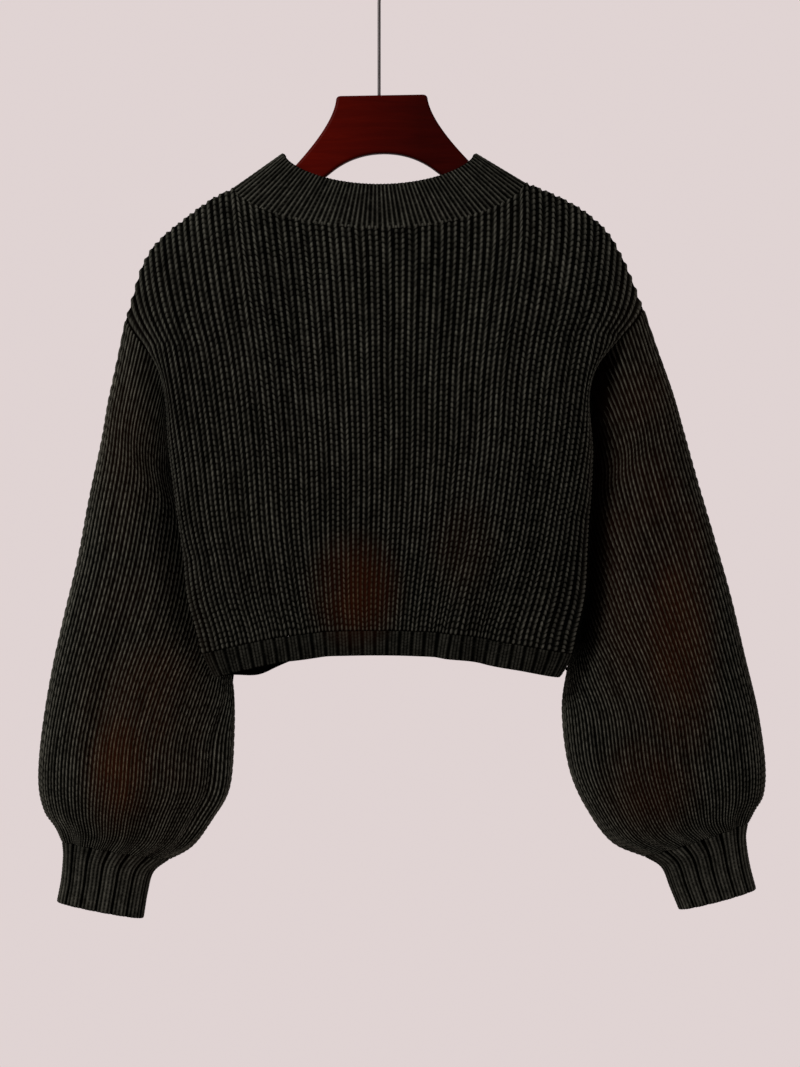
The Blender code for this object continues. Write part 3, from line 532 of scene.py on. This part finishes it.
def knit_depth(rib, stitch, seed, profile, stitch_dip, bundled):
    """How far the knit lies below the tops of its ribs, in metres."""
    side = np.abs(rib % 1 - 0.5)
    across = np.interp(side, profile["side"], profile["depth"])
    leg = 1 - np.clip((side - LEG_EDGE[0]) / (LEG_EDGE[1] - LEG_EDGE[0]), 0, 1)
    loop = 0.5 - 0.5 * np.cos(2 * math.pi * stitch)
    purl = 0.5 + 0.5 * np.cos(2 * math.pi * stitch)
    uneven = 1 + 0.35 * value_noise(rib * 0.9 + 7, stitch * 0.7, seed)
    dip = stitch_dip * (1 - np.sqrt(loop)) * leg * uneven
    rise = PURL_RISE * purl * (1 - leg) * uneven
    depth = RIB_RELIEF * across + dip - rise
    if bundled:
        parting = np.abs((rib + 1) % 2 - 1)
        weight = 1 + 0.6 * value_noise(np.round(rib / 2) * 1.7, stitch * 0.1, seed + 9)
        depth = depth + BUNDLE_DEPTH * weight * np.exp(-(parting / 0.22) ** 2)
    return depth


def openness(form, rib, ribs, closed):
    """1 where ribs have room, less where they are pressed together and lie flat."""
    if closed:
        run = np.roll(form, -1, axis=1) - np.roll(form, 1, axis=1)
        step = (np.roll(rib, -1, axis=1) - np.roll(rib, 1, axis=1)) % ribs
    else:
        run, step = np.gradient(form, axis=1), np.gradient(rib, axis=1)
    return np.clip(np.linalg.norm(run, axis=2) / step / OPEN_RIB, 0.15, 1)


def end_depth(form, end, reach, curve):
    """Extra depth within `reach` of one end, where `curve` runs from 0 inside to 1."""
    steps = np.linalg.norm(np.diff(form, axis=0), axis=2)
    run = np.concatenate([np.zeros((1, form.shape[1])), np.cumsum(steps, axis=0)])
    from_edge = run if end == 0 else run[-1] - run
    return curve(np.clip(1 - from_edge / reach, 0, 1))


def surface_normals(points, closed, away):
    """Unit normals of a grid of points, turned to the side where `away` is positive."""
    if closed:
        across = np.roll(points, -1, axis=1) - np.roll(points, 1, axis=1)
    else:
        across = np.gradient(points, axis=1)
    down = np.gradient(points, axis=0)
    normals = unit(np.cross(across, down))
    return normals * np.sign(np.sum(normals * away))


def grid_quads(low, high, closed):
    """Faces between two rows of vertex numbers."""
    if closed:
        low, high = np.append(low, low[0]), np.append(high, high[0])
    return np.stack([low[:-1], low[1:], high[1:], high[:-1]], axis=1)


def strip_faces(dense, sparse, closed):
    """Triangles between a row and one that holds one vertex for several of its own."""
    if closed:
        dense, sparse = np.append(dense, dense[0]), np.append(sparse, sparse[0])
    every = (len(dense) - 1) // (len(sparse) - 1)
    faces = []
    for step in range(len(sparse) - 1):
        near = dense[step * every:(step + 1) * every + 1]
        middle = every // 2
        faces += [(sparse[step], near[i], near[i + 1]) for i in range(middle)]
        faces.append((sparse[step], near[middle], sparse[step + 1]))
        faces += [(sparse[step + 1], near[i], near[i + 1]) for i in range(middle, every)]
    return faces


def shell(name, outer, inner, columns, closed, layers):
    """A closed mesh of a dense outer grid and a sparse inner one.

    `layers` are (name, values) pairs: a value for each outer vertex, 2 numbers for a
    UV map or one for an attribute.
    """
    rows, width = outer.shape[:2]
    outer_ids = np.arange(rows * width).reshape(rows, width)
    points, source, inner_ids = [outer.reshape(-1, 3)], [outer_ids.ravel()], []
    next_id = rows * width
    for row in range(0, rows, INNER_STEP):
        ends = row in (0, rows - 1)
        chosen = np.arange(width) if ends else np.arange(0, width, columns)
        inner_ids.append(next_id + np.arange(len(chosen)))
        next_id += len(chosen)
        points.append(inner[row, chosen])
        source.append(outer_ids[row, chosen])
    points, source = np.concatenate(points), np.concatenate(source)
    faces = [face for row in range(rows - 1)
             for face in grid_quads(outer_ids[row], outer_ids[row + 1], closed).tolist()]
    faces += grid_quads(outer_ids[0], inner_ids[0], closed).tolist()
    faces += grid_quads(outer_ids[-1], inner_ids[-1], closed).tolist()
    faces += strip_faces(inner_ids[0], inner_ids[1], closed)
    for low, high in zip(inner_ids[1:-2], inner_ids[2:-1]):
        faces += grid_quads(low, high, closed).tolist()
    faces += strip_faces(inner_ids[-1], inner_ids[-2], closed)
    if not closed:
        for column in (0, -1):
            faces += strip_faces(outer_ids[:, column], np.array([row[column] for row in inner_ids]), False)
    mesh = bpy.data.meshes.new(name)
    mesh.from_pydata(points.tolist(), [], faces)
    loops = np.zeros(len(mesh.loops), np.int32)
    mesh.loops.foreach_get("vertex_index", loops)
    for label, values in layers:
        values = values.reshape(rows * width, -1)[source]
        if values.shape[1] == 2:
            uv = mesh.uv_layers.new(name=label)
            uv.data.foreach_set("uv", values[loops].astype(np.float32).ravel())
        else:
            attribute = mesh.attributes.new(label, "FLOAT", "POINT")
            attribute.data.foreach_set("value", values[:, 0].astype(np.float32))
    tidy = bmesh.new()
    tidy.from_mesh(mesh)
    bmesh.ops.recalc_face_normals(tidy, faces=tidy.faces)
    tidy.to_mesh(mesh)
    tidy.free()
    mesh.shade_smooth()
    return bpy.data.objects.new(name, mesh)


def add_to_scene(thing):
    bpy.context.scene.collection.objects.link(thing)


def finish_piece(piece, material, node):
    """Put a piece in the scene, with its material, in place of a node of the part."""
    add_to_scene(piece)
    piece.data.materials.clear()
    piece.data.materials.append(material)
    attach(piece, "root")
    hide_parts(node)
    return piece


def knit_piece(name, surface, ribs, stitches, material, away, closed=True, wall=KNIT_WALL,
               columns=PLAIN_COLUMNS, seed=1, ends=("plain", "plain"), profile=RIB,
               stitch_dip=STITCH_DIP, bundled=False, light=lambda form: 1.0):
    """One knitted piece: `surface` gives its outer form from rib share and v.

    Each of its two `ends` is tucked under a neighbour, rolled at a free edge, or plain.
    `light` gives a factor of painted light and shade for its yarn's tone at each point; painted shade also
    darkens its grooves, pressed ribs, and rolled and tucked ends.
    """
    rib, row = rib_lattice(ribs, stitches, columns, closed)
    stitch = chevron(rib, row, stitches, seed)
    if closed:
        rib_share = (rib % ribs) / ribs
    else:
        wander = WOBBLE * value_noise(rib * 0.5, stitch * 0.12, seed + 50) * np.sin(math.pi * rib / ribs)
        rib_share = (rib + wander) / ribs
    form = surface(rib_share, np.clip(stitch / stitches, 0, 1))
    normals = surface_normals(form, closed, away)
    depth = knit_depth(rib, row, seed, profile, stitch_dip, bundled)
    room = openness(form, rib, ribs, closed)
    # hollow: painted shade in the knit's grooves, from their depth.
    hollow = np.clip((depth / RIB_RELIEF - HOLLOW_START) / (HOLLOW_END - HOLLOW_START), 0, 1)
    # Pressed ribs get painted shade too, where they lie flat.
    hollow = hollow * room + PRESSED_SHADE * (1 - room)
    depth = depth * room
    # Rolled and tucked ends are darkened by painted shade as well.
    for end, finish in enumerate(ends):
        if finish == "roll":
            turned = end_depth(form, end, EDGE_ROLL, lambda turn: 1 - np.sqrt(1 - turn ** 2))
            depth = depth + ROLL_SHARE * EDGE_ROLL * turned
            hollow = np.maximum(hollow, turned)
        if finish == "tuck":
            tucked = end_depth(form, end, TUCK_SLOPE, ease)
            depth = depth + TUCK_INSET * tucked
            hollow = np.maximum(hollow, tucked)
    outer = form - normals * depth[..., None]
    inner = form - normals * (RIB_RELIEF + wall)
    side = np.abs(rib % 1 - 0.5)
    yarn = np.stack([side, row], axis=-1) * YARN_SCALE
    # tone: painted light and shade from `light`, times the yarn's random tone from rib to rib and stitch
    # to stitch.
    tone = light(form) * (1 + TONE_STREAK * value_noise(rib * 1.9, row * 0.11, seed + 20)
                          + TONE_SPECK * value_noise(rib * 4.0, row * 1.3, seed + 40))
    layers = [("yarn", yarn), ("hollow", hollow), ("tone", tone)]
    piece = shell(name + "_knit", outer, inner, len(columns), closed, layers)
    return finish_piece(piece, material, name)


def from_centres(points):
    """From the middle of each row of a tube to its points."""
    return points - points.mean(axis=1, keepdims=True)


def raised(form, lift):
    """A tube's form moved outward by `lift`."""
    return form + surface_normals(form, True, from_centres(form)) * lift[..., None]


def tube_piece(name, surface, ribs, stitches, material, **options):
    """A knitted tube, whose outside faces away from the middle of each of its rings."""
    rib, row = rib_lattice(ribs, stitches, (0.0,), True)
    probe = from_centres(surface((rib % ribs) / ribs, row / stitches))
    away = np.repeat(probe, len(options.get("columns", PLAIN_COLUMNS)), axis=1)
    return knit_piece(name, surface, ribs, stitches, material, away, **options)


def face_piece(name, shape, face, ribs, stitches, material, **options):
    """A knitted piece of the front (face -1) or the back (1)."""
    return knit_piece(
        name, lambda share, v: shape(share * 2 - 1, v, face), ribs, stitches, material,
        np.array([0.0, face, 0.0]), closed=False, **options)


def gather_wave(around):
    """Height of the gathers at their fullest, with a ridge on each pair of the cuff's ribs."""
    uneven = 1 + 0.5 * value_noise(around * GATHERS, around * 0 + 0.5, 31)
    return -GATHER_HEIGHT * uneven * np.cos(2 * math.pi * GATHERS * around)


def crease_lift(side, around, down):
    """Height of a sleeve's creases, and of the gathers above its cuff."""
    lift = np.zeros(around.shape)
    for sleeve, place, level, slant, width, length, height in zip(*SLEEVE_CREASES.values()):
        if sleeve not in (0, side):
            continue
        away = around - place - slant * (down - level)
        away = away - np.round(away)
        lift += height * np.exp(-(away / width) ** 2 - ((down - level) / length) ** 2)
    lift = lift * np.clip(down / CREASE_FADE[0], 0, 1) * np.clip((1 - down) / CREASE_FADE[1], 0, 1)
    gathered = np.clip((down - GATHER_START) / (1 - GATHER_START), 0, 1)
    return lift + gather_wave(around) * gathered * (1 - 0.5 * gathered ** 4)


def drawn_back(side, points):
    """How far a sleeve's cloth is drawn back beside the body, from 0 to 1; this also sets its painted
    shade there.
    """
    x, z = points[..., 0], points[..., 2]
    edge = np.minimum(np.abs(smooth(z, BODY["z"], BODY["left" if side < 0 else "right"])), DRAWN_EDGE)
    level = np.clip((z - DRAWN_LOW) / DRAWN_FADE, 0, 1) * np.clip((DRAWN_HIGH - z) / DRAWN_FADE, 0, 1)
    return np.exp(-((side * x - edge - DRAWN_PLACE) / DRAWN_WIDTH) ** 2) * level


def knit_sleeve(name, side, material):
    """The sleeve on the left (side -1) or right (1)."""
    def surface(around, v):
        form = raised(along(sleeve_rings(side, around[0]), v), crease_lift(side, around, v))
        form[..., 1] += DRAWN_BACK[side] * drawn_back(side, form)
        return form

    # Painted light and shade: each sleeve's own brightness, and painted shade where it is drawn back.
    def light(form):
        return SLEEVE_PAINTED_LIGHT[side] * (1 - DRAWN_SHADE[side] * drawn_back(side, form))
    return tube_piece(name, surface, SLEEVE_RIBS, SLEEVE_STITCHES, material, seed=20 + side,
                      ends=("tuck", "plain"), stitch_dip=SLEEVE_DIP, light=light)


def knit_cuff(name, side, material, **options):
    def surface(around, v):
        form = along(cuff_rings(side, around[0]), v)
        return raised(form, 0.5 * gather_wave(around) * (1 - v) ** 3)
    return tube_piece(name, surface, CUFF_RIBS, CUFF_STITCHES, material,
                      ends=("plain", "roll"), profile=CUFF_RIB, bundled=True, **options)


# -------- materials
CHARCOAL = (0.036, 0.036, 0.029)
WARM_YARN = (0.042, 0.028, 0.014)
WARM_GROOVE_SHADE = (0.0145, 0.0034, 0.0012)  # painted shade colour between the ribs, where the yarn is warm
YARN_TWIST = math.radians(38)

# Warm patches in the dyed yarn: centre, half sizes and strength.
WARM_PATCHES = [
    ((-0.023, -0.03, -0.625), (0.037, 0.08, 0.045), 0.9),
    ((0.08, -0.03, -0.59), (0.03, 0.08, 0.045), 0.15),
    ((-0.245, 0.0, -0.8), (0.034, 0.08, 0.06), 0.85),
    ((-0.225, 0.0, -0.75), (0.06, 0.08, 0.13), 0.35),
    ((-0.24, 0.0, -0.48), (0.03, 0.08, 0.11), 0.2),
    ((0.284, 0.0, -0.665), (0.036, 0.08, 0.12), 0.65),
    ((0.25, 0.0, -0.56), (0.045, 0.08, 0.2), 0.35),
    ((0.257, 0.0, -0.812), (0.042, 0.08, 0.045), 0.55),
    ((0.06, 0.03, -0.54), (0.09, 0.04, 0.09), 0.6),
]


class Nodes:
    """A new material, with fixed values of its shader and ways to link nodes to it."""

    def __init__(self, name, fixed):
        self.material = bpy.data.materials.new(name)
        self.material.use_nodes = True
        self.tree = self.material.node_tree
        self.shader = self.tree.nodes["Principled BSDF"].inputs
        for socket, value in fixed.items():
            self.shader[socket].default_value = value

    def add(self, kind, values=(), links=(), **settings):
        node = self.tree.nodes.new("ShaderNode" + kind)
        for key, value in settings.items():
            setattr(node, key, value)
        for socket, value in dict(values).items():
            node.inputs[socket].default_value = value
        for socket, source in dict(links).items():
            self.tree.links.new(source, node.inputs[socket])
        return node

    def place(self):
        return self.add("TexCoord").outputs["Object"]

    def mapped(self, vector, **change):
        return self.add("Mapping", change, {"Vector": vector}).outputs[0]

    def noise(self, vector, scale, detail, roughness=0.5, distortion=0.0):
        values = {"Scale": scale, "Detail": detail, "Roughness": roughness, "Distortion": distortion}
        return self.add("TexNoise", values, {"Vector": vector}).outputs["Fac"]

    def remap(self, source, start, end, low, high, **settings):
        """`source` moved from the range start to end to the range low to high."""
        values = {"From Min": start, "From Max": end, "To Min": low, "To Max": high}
        return self.add("MapRange", values, {"Value": source}, **settings).outputs[0]

    def combined(self, operation, first, second):
        return self.add("Math", links={0: first, 1: second}, operation=operation).outputs[0]

    def scaled(self, colour, factor):
        return self.add("VectorMath", links={0: colour, "Scale": factor}, operation="SCALE").outputs[0]

    def mix(self, factor, first, second):
        """The colour linked to `first`, or the fixed colour `second` where the factor is 1."""
        return self.add("Mix", {7: (*second, 1.0)}, {0: factor, 6: first}, data_type="RGBA").outputs[2]

    def ramp(self, source, *stops):
        node = self.add("ValToRGB", links={"Fac": source})
        elements = node.color_ramp.elements
        while len(elements) < len(stops):
            elements.new(0.5)
        for element, (place, colour) in zip(elements, stops):
            element.position = place
            element.color = (*colour, 1.0)
        return node.outputs["Color"]

    def bump(self, height, strength, distance):
        values = {"Strength": strength, "Distance": distance}
        self.link("Normal", self.add("Bump", values, {"Height": height}).outputs[0])

    def link(self, socket, source):
        self.tree.links.new(source, self.shader[socket])


def warm_patches(nodes, place, cloud):
    """1 in the middle of a strong patch, 0 away from all of them, broken up by a cloud."""
    patch = None
    for centre, half, strength in WARM_PATCHES:
        away = nodes.add("VectorMath", {1: centre}, {0: place}, operation="SUBTRACT").outputs[0]
        away = nodes.add("VectorMath", {1: half}, {0: away}, operation="DIVIDE").outputs[0]
        far = nodes.add("VectorMath", links={0: away}, operation="LENGTH").outputs["Value"]
        near = nodes.remap(far, 1.5, 0.1, 0.0, strength, interpolation_type="SMOOTHSTEP")
        patch = near if patch is None else nodes.combined("MAXIMUM", patch, near)
    return nodes.combined("MULTIPLY", patch, nodes.remap(cloud, 0.25, 0.6, 0.25, 1.0))


def knit_material():
    """Dyed wool yarn: fuzzy, matte, with warm patches, and painted shade that makes it near black between
    the ribs.
    """
    nodes = Nodes("rib_knit", {"Specular IOR Level": 0.0, "Sheen Roughness": 0.6,
                               "Sheen Tint": (0.55, 0.52, 0.47, 1.0)})
    place = nodes.place()
    yarn = nodes.add("UVMap", uv_map="yarn").outputs["UV"]
    # hollow carries painted shade, and tone carries painted light and shade with the yarn's random tone.
    hollow = nodes.add("Attribute", attribute_name="hollow").outputs["Fac"]
    tone_and_painted_light = nodes.add("Attribute", attribute_name="tone").outputs["Fac"]
    fibre = nodes.noise(place, 900.0, 3.0, 0.7)
    patch = warm_patches(nodes, place, nodes.noise(place, 11.0, 3.0, 0.55))

    dyed = nodes.ramp(nodes.noise(place, 120.0, 2.0),
                      (0.25, [c * 0.75 for c in CHARCOAL]), (0.75, [c * 1.25 for c in CHARCOAL]))
    tinted = nodes.mix(patch, dyed, WARM_YARN)
    # Painted shade: the yarn darkens in its hollows, down to HOLLOW_SHADE of its colour.
    dark = nodes.remap(hollow, 0.0, 1.0, 1.0, HOLLOW_SHADE)
    shade = nodes.combined("MULTIPLY", dark, nodes.remap(fibre, 0.3, 0.7, 0.75, 1.25))
    final = nodes.scaled(tinted, nodes.combined("MULTIPLY", shade, tone_and_painted_light))
    # In warm patches the painted shade of the grooves is warm brown instead of black.
    groove = nodes.combined("MULTIPLY", hollow, patch)
    nodes.link("Base Color", nodes.mix(groove, final, WARM_GROOVE_SHADE))

    twist = nodes.mapped(yarn, Rotation=(0.0, 0.0, YARN_TWIST))
    ply = nodes.add("TexWave", {"Scale": 0.42, "Distortion": 1.2, "Detail": 1.0, "Detail Scale": 1.5},
                    {"Vector": twist}, wave_type="BANDS", bands_direction="Y")
    fuzz = nodes.add("Math", {1: 0.5}, {0: fibre}, operation="MULTIPLY").outputs[0]
    nodes.bump(nodes.combined("ADD", ply.outputs["Fac"], fuzz), 0.6, 0.0006)
    nodes.link("Roughness", nodes.remap(fibre, 0.0, 1.0, 0.85, 1.0))
    # Less sheen in the hollows, as part of their painted shade.
    nodes.link("Sheen Weight", nodes.remap(hollow, 0.0, 1.0, 0.02, 0.0))
    return nodes.material


def wood_material():
    """Dark red-brown varnished wood with a long fine grain, with painted shade that darkens it to the
    right.
    """
    nodes = Nodes("varnished_wood", {"Specular IOR Level": 0.012})
    place = nodes.place()
    long = nodes.mapped(place, Scale=(5.0, 40.0, 60.0))
    grain = nodes.noise(long, 3.0, 8.0, 0.65, 0.8)
    pores = nodes.noise(long, 24.0, 4.0, 0.7)
    colour = nodes.ramp(grain, (0.30, (0.030, 0.0008, 0.0001)), (0.52, (0.037, 0.0010, 0.0001)),
                        (0.75, (0.047, 0.0016, 0.0002)))
    # Painted shade: the board grows darker to its right, away from the light on its left.
    across = nodes.add("SeparateXYZ", links={"Vector": place}).outputs["X"]
    nodes.link("Base Color", nodes.scaled(colour, nodes.remap(across, -0.07, 0.04, 1.0, 0.36)))
    nodes.link("Roughness", nodes.remap(pores, 0.0, 1.0, 0.28, 0.5))
    nodes.bump(pores, 0.12, 0.0004)
    return nodes.material


def wire_material():
    """Dark lacquered wire with faint drawn lines and small scuffs."""
    nodes = Nodes("dark_wire", {"Metallic": 0.85})
    lines = nodes.noise(nodes.mapped(nodes.place(), Scale=(900.0, 900.0, 30.0)), 1.0, 4.0)
    nodes.link("Base Color", nodes.ramp(lines, (0.3, (0.018, 0.016, 0.016)), (0.7, (0.05, 0.045, 0.045))))
    nodes.link("Roughness", nodes.remap(lines, 0.0, 1.0, 0.25, 0.5))
    return nodes.material


# -------- the hanger
BOARD_TOP_Z = -0.152
BOARD_TOP_HALF = 0.044
BOARD_CORNER = 0.005
BOARD_THICKNESS = 0.012
BOARD_BEVEL = 0.003
BOARD_CENTRE_X = 0.0025
BOARD_TILT = math.radians(-1.0)
BOARD_NECK = ((0.044, -0.157), (0.048, -0.18), (0.084, -0.218))
BOARD_ARM_TOP = ((0.119, -0.2415), (0.162, -0.263), (0.178, -0.273), (0.19, -0.2825))
BOARD_END = ((0.198, -0.289), (0.198, -0.301), (0.189, -0.307))
BOARD_ARM_UNDER = ((0.162, -0.292), (0.115, -0.264), (0.075, -0.244))
BOARD_ARCH = ((0.0525, -0.227), (0.03, -0.2077), (0.0, -0.2077))

HOOK_WIRE = 0.003
HOOK_INNER = 0.019  # radius inside the bend
HOOK_JOIN = math.radians(50)  # how far the shank leans where it meets the bend
HOOK_JOIN_RADIUS = 0.037
HOOK_WRAP = math.radians(262)


def bezier(start, pull, end, count):
    """Points of a quadratic curve, without its start."""
    share = np.linspace(0, 1, count + 1)[1:, None]
    start, pull, end = np.array(start), np.array(pull), np.array(end)
    return (1 - share) ** 2 * start + 2 * share * (1 - share) * pull + share ** 2 * end


def board_half():
    """Half of the board's outline, from the middle of its top round to the arch."""
    top = (BOARD_TOP_HALF - BOARD_CORNER, BOARD_TOP_Z)
    corner = (BOARD_TOP_HALF, BOARD_TOP_Z)
    return np.concatenate([
        [top],
        bezier(top, corner, BOARD_NECK[0], 8),
        bezier(*BOARD_NECK, 28),
        BOARD_ARM_TOP,
        bezier(BOARD_ARM_TOP[-1], *BOARD_END[:2], 8),
        bezier(BOARD_END[1], (BOARD_END[1][0], BOARD_END[2][1]), BOARD_END[2], 8),
        BOARD_ARM_UNDER,
        bezier(*BOARD_ARCH, 28),
    ])


def line_curve(name, points, dimensions, bevel, resolution):
    """A curve object that runs straight from point to point."""
    data = bpy.data.curves.new(name, "CURVE")
    data.dimensions = dimensions
    data.bevel_depth = bevel
    data.bevel_resolution = resolution
    spline = data.splines.new("POLY")
    spline.points.add(len(points) - 1)
    for point, place in zip(spline.points, points):
        point.co = (*place, 1.0)
    return bpy.data.objects.new(name, data)


def as_mesh(name, curve, sharp_from):
    """A smooth-shaded mesh piece from a curve object, with edges from that angle left sharp."""
    add_to_scene(curve)
    bpy.context.view_layer.update()
    mesh = bpy.data.meshes.new_from_object(curve.evaluated_get(bpy.context.evaluated_depsgraph_get()))
    mesh.transform(curve.matrix_world)
    bpy.data.objects.remove(curve)
    mesh.name = name
    mesh.shade_smooth()
    mesh.set_sharp_from_angle(angle=math.radians(sharp_from))
    return bpy.data.objects.new(name, mesh)


def hanger_board(material):
    half = board_half()
    outline = np.concatenate([half, half[-2::-1] * (-1, 1)])
    points = [(x, z - BOARD_TOP_Z, 0.0) for x, z in outline]
    curve = line_curve("board_outline", points, "2D", BOARD_BEVEL, 4)
    curve.data.fill_mode = "BOTH"
    curve.data.extrude = BOARD_THICKNESS / 2 - BOARD_BEVEL
    curve.data.offset = -BOARD_BEVEL
    curve.data.splines[0].use_cyclic_u = True
    curve.rotation_euler = (math.radians(90), BOARD_TILT, 0.0)
    curve.location = (BOARD_CENTRE_X, 0.0, BOARD_TOP_Z)
    finish_piece(as_mesh("hanger_board_wood", curve, 35), material, "hanger_board")


def hanger_hook(material):
    radius = HOOK_INNER + HOOK_WIRE / 2
    centre_z = -HOOK_INNER
    join_x = radius * math.cos(HOOK_JOIN)
    join_z = centre_z - radius * math.sin(HOOK_JOIN)
    bend_x = join_x - HOOK_JOIN_RADIUS * (1 - math.cos(HOOK_JOIN))
    bend_z = join_z - HOOK_JOIN_RADIUS * math.sin(HOOK_JOIN)
    points = [(bend_x, 0, BOARD_TOP_Z + SEAM_GAP * 2), (bend_x, 0, (BOARD_TOP_Z + bend_z) / 2)]
    points += [(bend_x + HOOK_JOIN_RADIUS * (1 - math.cos(turn)), 0,
                bend_z + HOOK_JOIN_RADIUS * math.sin(turn))
               for turn in np.linspace(0, HOOK_JOIN, 13)[:-1]]
    points += [(radius * math.cos(turn), 0, centre_z + radius * math.sin(turn))
               for turn in np.linspace(-HOOK_JOIN, HOOK_WRAP - HOOK_JOIN, 64)]
    curve = line_curve("hook_line", points, "3D", HOOK_WIRE / 2, 5)
    curve.data.use_fill_caps = True
    finish_piece(as_mesh("hanger_hook_wire", curve, 50), material, "hanger_hook")


# -------- the garment
def knit_garment():
    knit = knit_material()
    cloth = {}
    band = {"wall": BAND_WALL, "stitch_dip": BAND_DIP}
    for face, name, columns in ((-1, "front_panel", FINE_COLUMNS), (1, "back_panel", PLAIN_COLUMNS)):
        cloth[name] = face_piece(
            name, panel, face, PANEL_RIBS, PANEL_STITCHES, knit, columns=columns, seed=3 + face)
    for face, name in ((-1, "hem_front"), (1, "hem_back")):
        cloth[name] = face_piece(
            name, hem_band, face, HEM_RIBS, HEM_STITCHES, knit, columns=HEM_COLUMNS,
            seed=8 + face, ends=("roll", "plain"), profile=HEM_RIB, **band)
    for side, word in ((-1, "_left"), (1, "_right")):
        cloth["sleeve" + word] = knit_sleeve("sleeve" + word, side, knit)
        cloth["cuff" + word] = knit_cuff("cuff" + word, side, knit, seed=12 + side, **band)
    cloth["neckband"] = tube_piece(
        "neckband", lambda around, v: along(neck_rings(around[0]), v), NECK_RIBS, NECK_STITCHES,
        knit, seed=15, ends=("plain", "roll"), profile=NECK_RIB, **band)
    return cloth


# -------- the studio
VIEW_CENTRE = (0.020, -0.572)  # x and z that the camera looks at
VIEW_DISTANCE = 2.2
VIEW_HEIGHT = 1.024  # metres seen from top to bottom where the object hangs
SENSOR = 36.0
FLOOR_Z = -1.5
FLOOR_RADIUS = 1.3


def camera():
    data = bpy.data.cameras.new("camera")
    data.sensor_width = SENSOR
    data.lens = SENSOR * VIEW_DISTANCE / VIEW_HEIGHT
    view = bpy.data.objects.new("camera", data)
    view.location = (VIEW_CENTRE[0], -VIEW_DISTANCE, VIEW_CENTRE[1])
    view.rotation_euler = (math.radians(90), 0.0, 0.0)
    add_to_scene(view)
    bpy.context.scene.camera = view


def area_light(name, place, towards, size, power, colour):
    data = bpy.data.lights.new(name, "AREA")
    data.shape = "DISK"
    data.size = size
    data.energy = power
    data.color = colour
    lamp = bpy.data.objects.new(name, data)
    lamp.location = place
    away = np.array(towards) - np.array(place)
    lamp.rotation_euler = (math.atan2(math.hypot(away[0], away[1]), -away[2]), 0.0,
                           math.atan2(-away[0], away[1]))
    add_to_scene(lamp)


def studio():
    world = bpy.data.worlds.new("studio")
    world.use_nodes = True
    background = world.node_tree.nodes["Background"]
    background.inputs["Color"].default_value = (0.745, 0.655, 0.652, 1.0)
    background.inputs["Strength"].default_value = 1.0
    bpy.context.scene.world = world
    bpy.context.scene.view_settings.view_transform = "Standard"
    area_light("key", (-1.3, -1.6, 0.7), (0, 0, -0.55), 0.9, 62, (1.0, 0.98, 0.96))
    area_light("fill", (1.4, -1.8, -0.2), (0, 0, -0.6), 1.4, 6, (1.0, 0.97, 0.97))

    mesh = bpy.data.meshes.new("floor")
    disc = bmesh.new()
    bmesh.ops.create_circle(disc, cap_ends=True, segments=64, radius=FLOOR_RADIUS)
    disc.to_mesh(mesh)
    disc.free()
    floor = bpy.data.objects.new("floor", mesh)
    floor.location = (0.0, 0.0, FLOOR_Z)
    pale = Nodes("pale_floor", {"Base Color": (0.72, 0.66, 0.65, 1.0), "Roughness": 0.85})
    mesh.materials.append(pale.material)
    add_to_scene(floor)


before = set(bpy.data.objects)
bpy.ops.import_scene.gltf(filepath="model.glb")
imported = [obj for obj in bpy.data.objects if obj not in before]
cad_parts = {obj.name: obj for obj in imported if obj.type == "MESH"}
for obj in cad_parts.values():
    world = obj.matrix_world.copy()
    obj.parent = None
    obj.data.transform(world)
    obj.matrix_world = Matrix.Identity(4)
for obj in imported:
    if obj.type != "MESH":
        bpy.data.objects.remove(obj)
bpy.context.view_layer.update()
camera()
studio()
garment = knit_garment()
hanger_board(wood_material())
hanger_hook(wire_material())
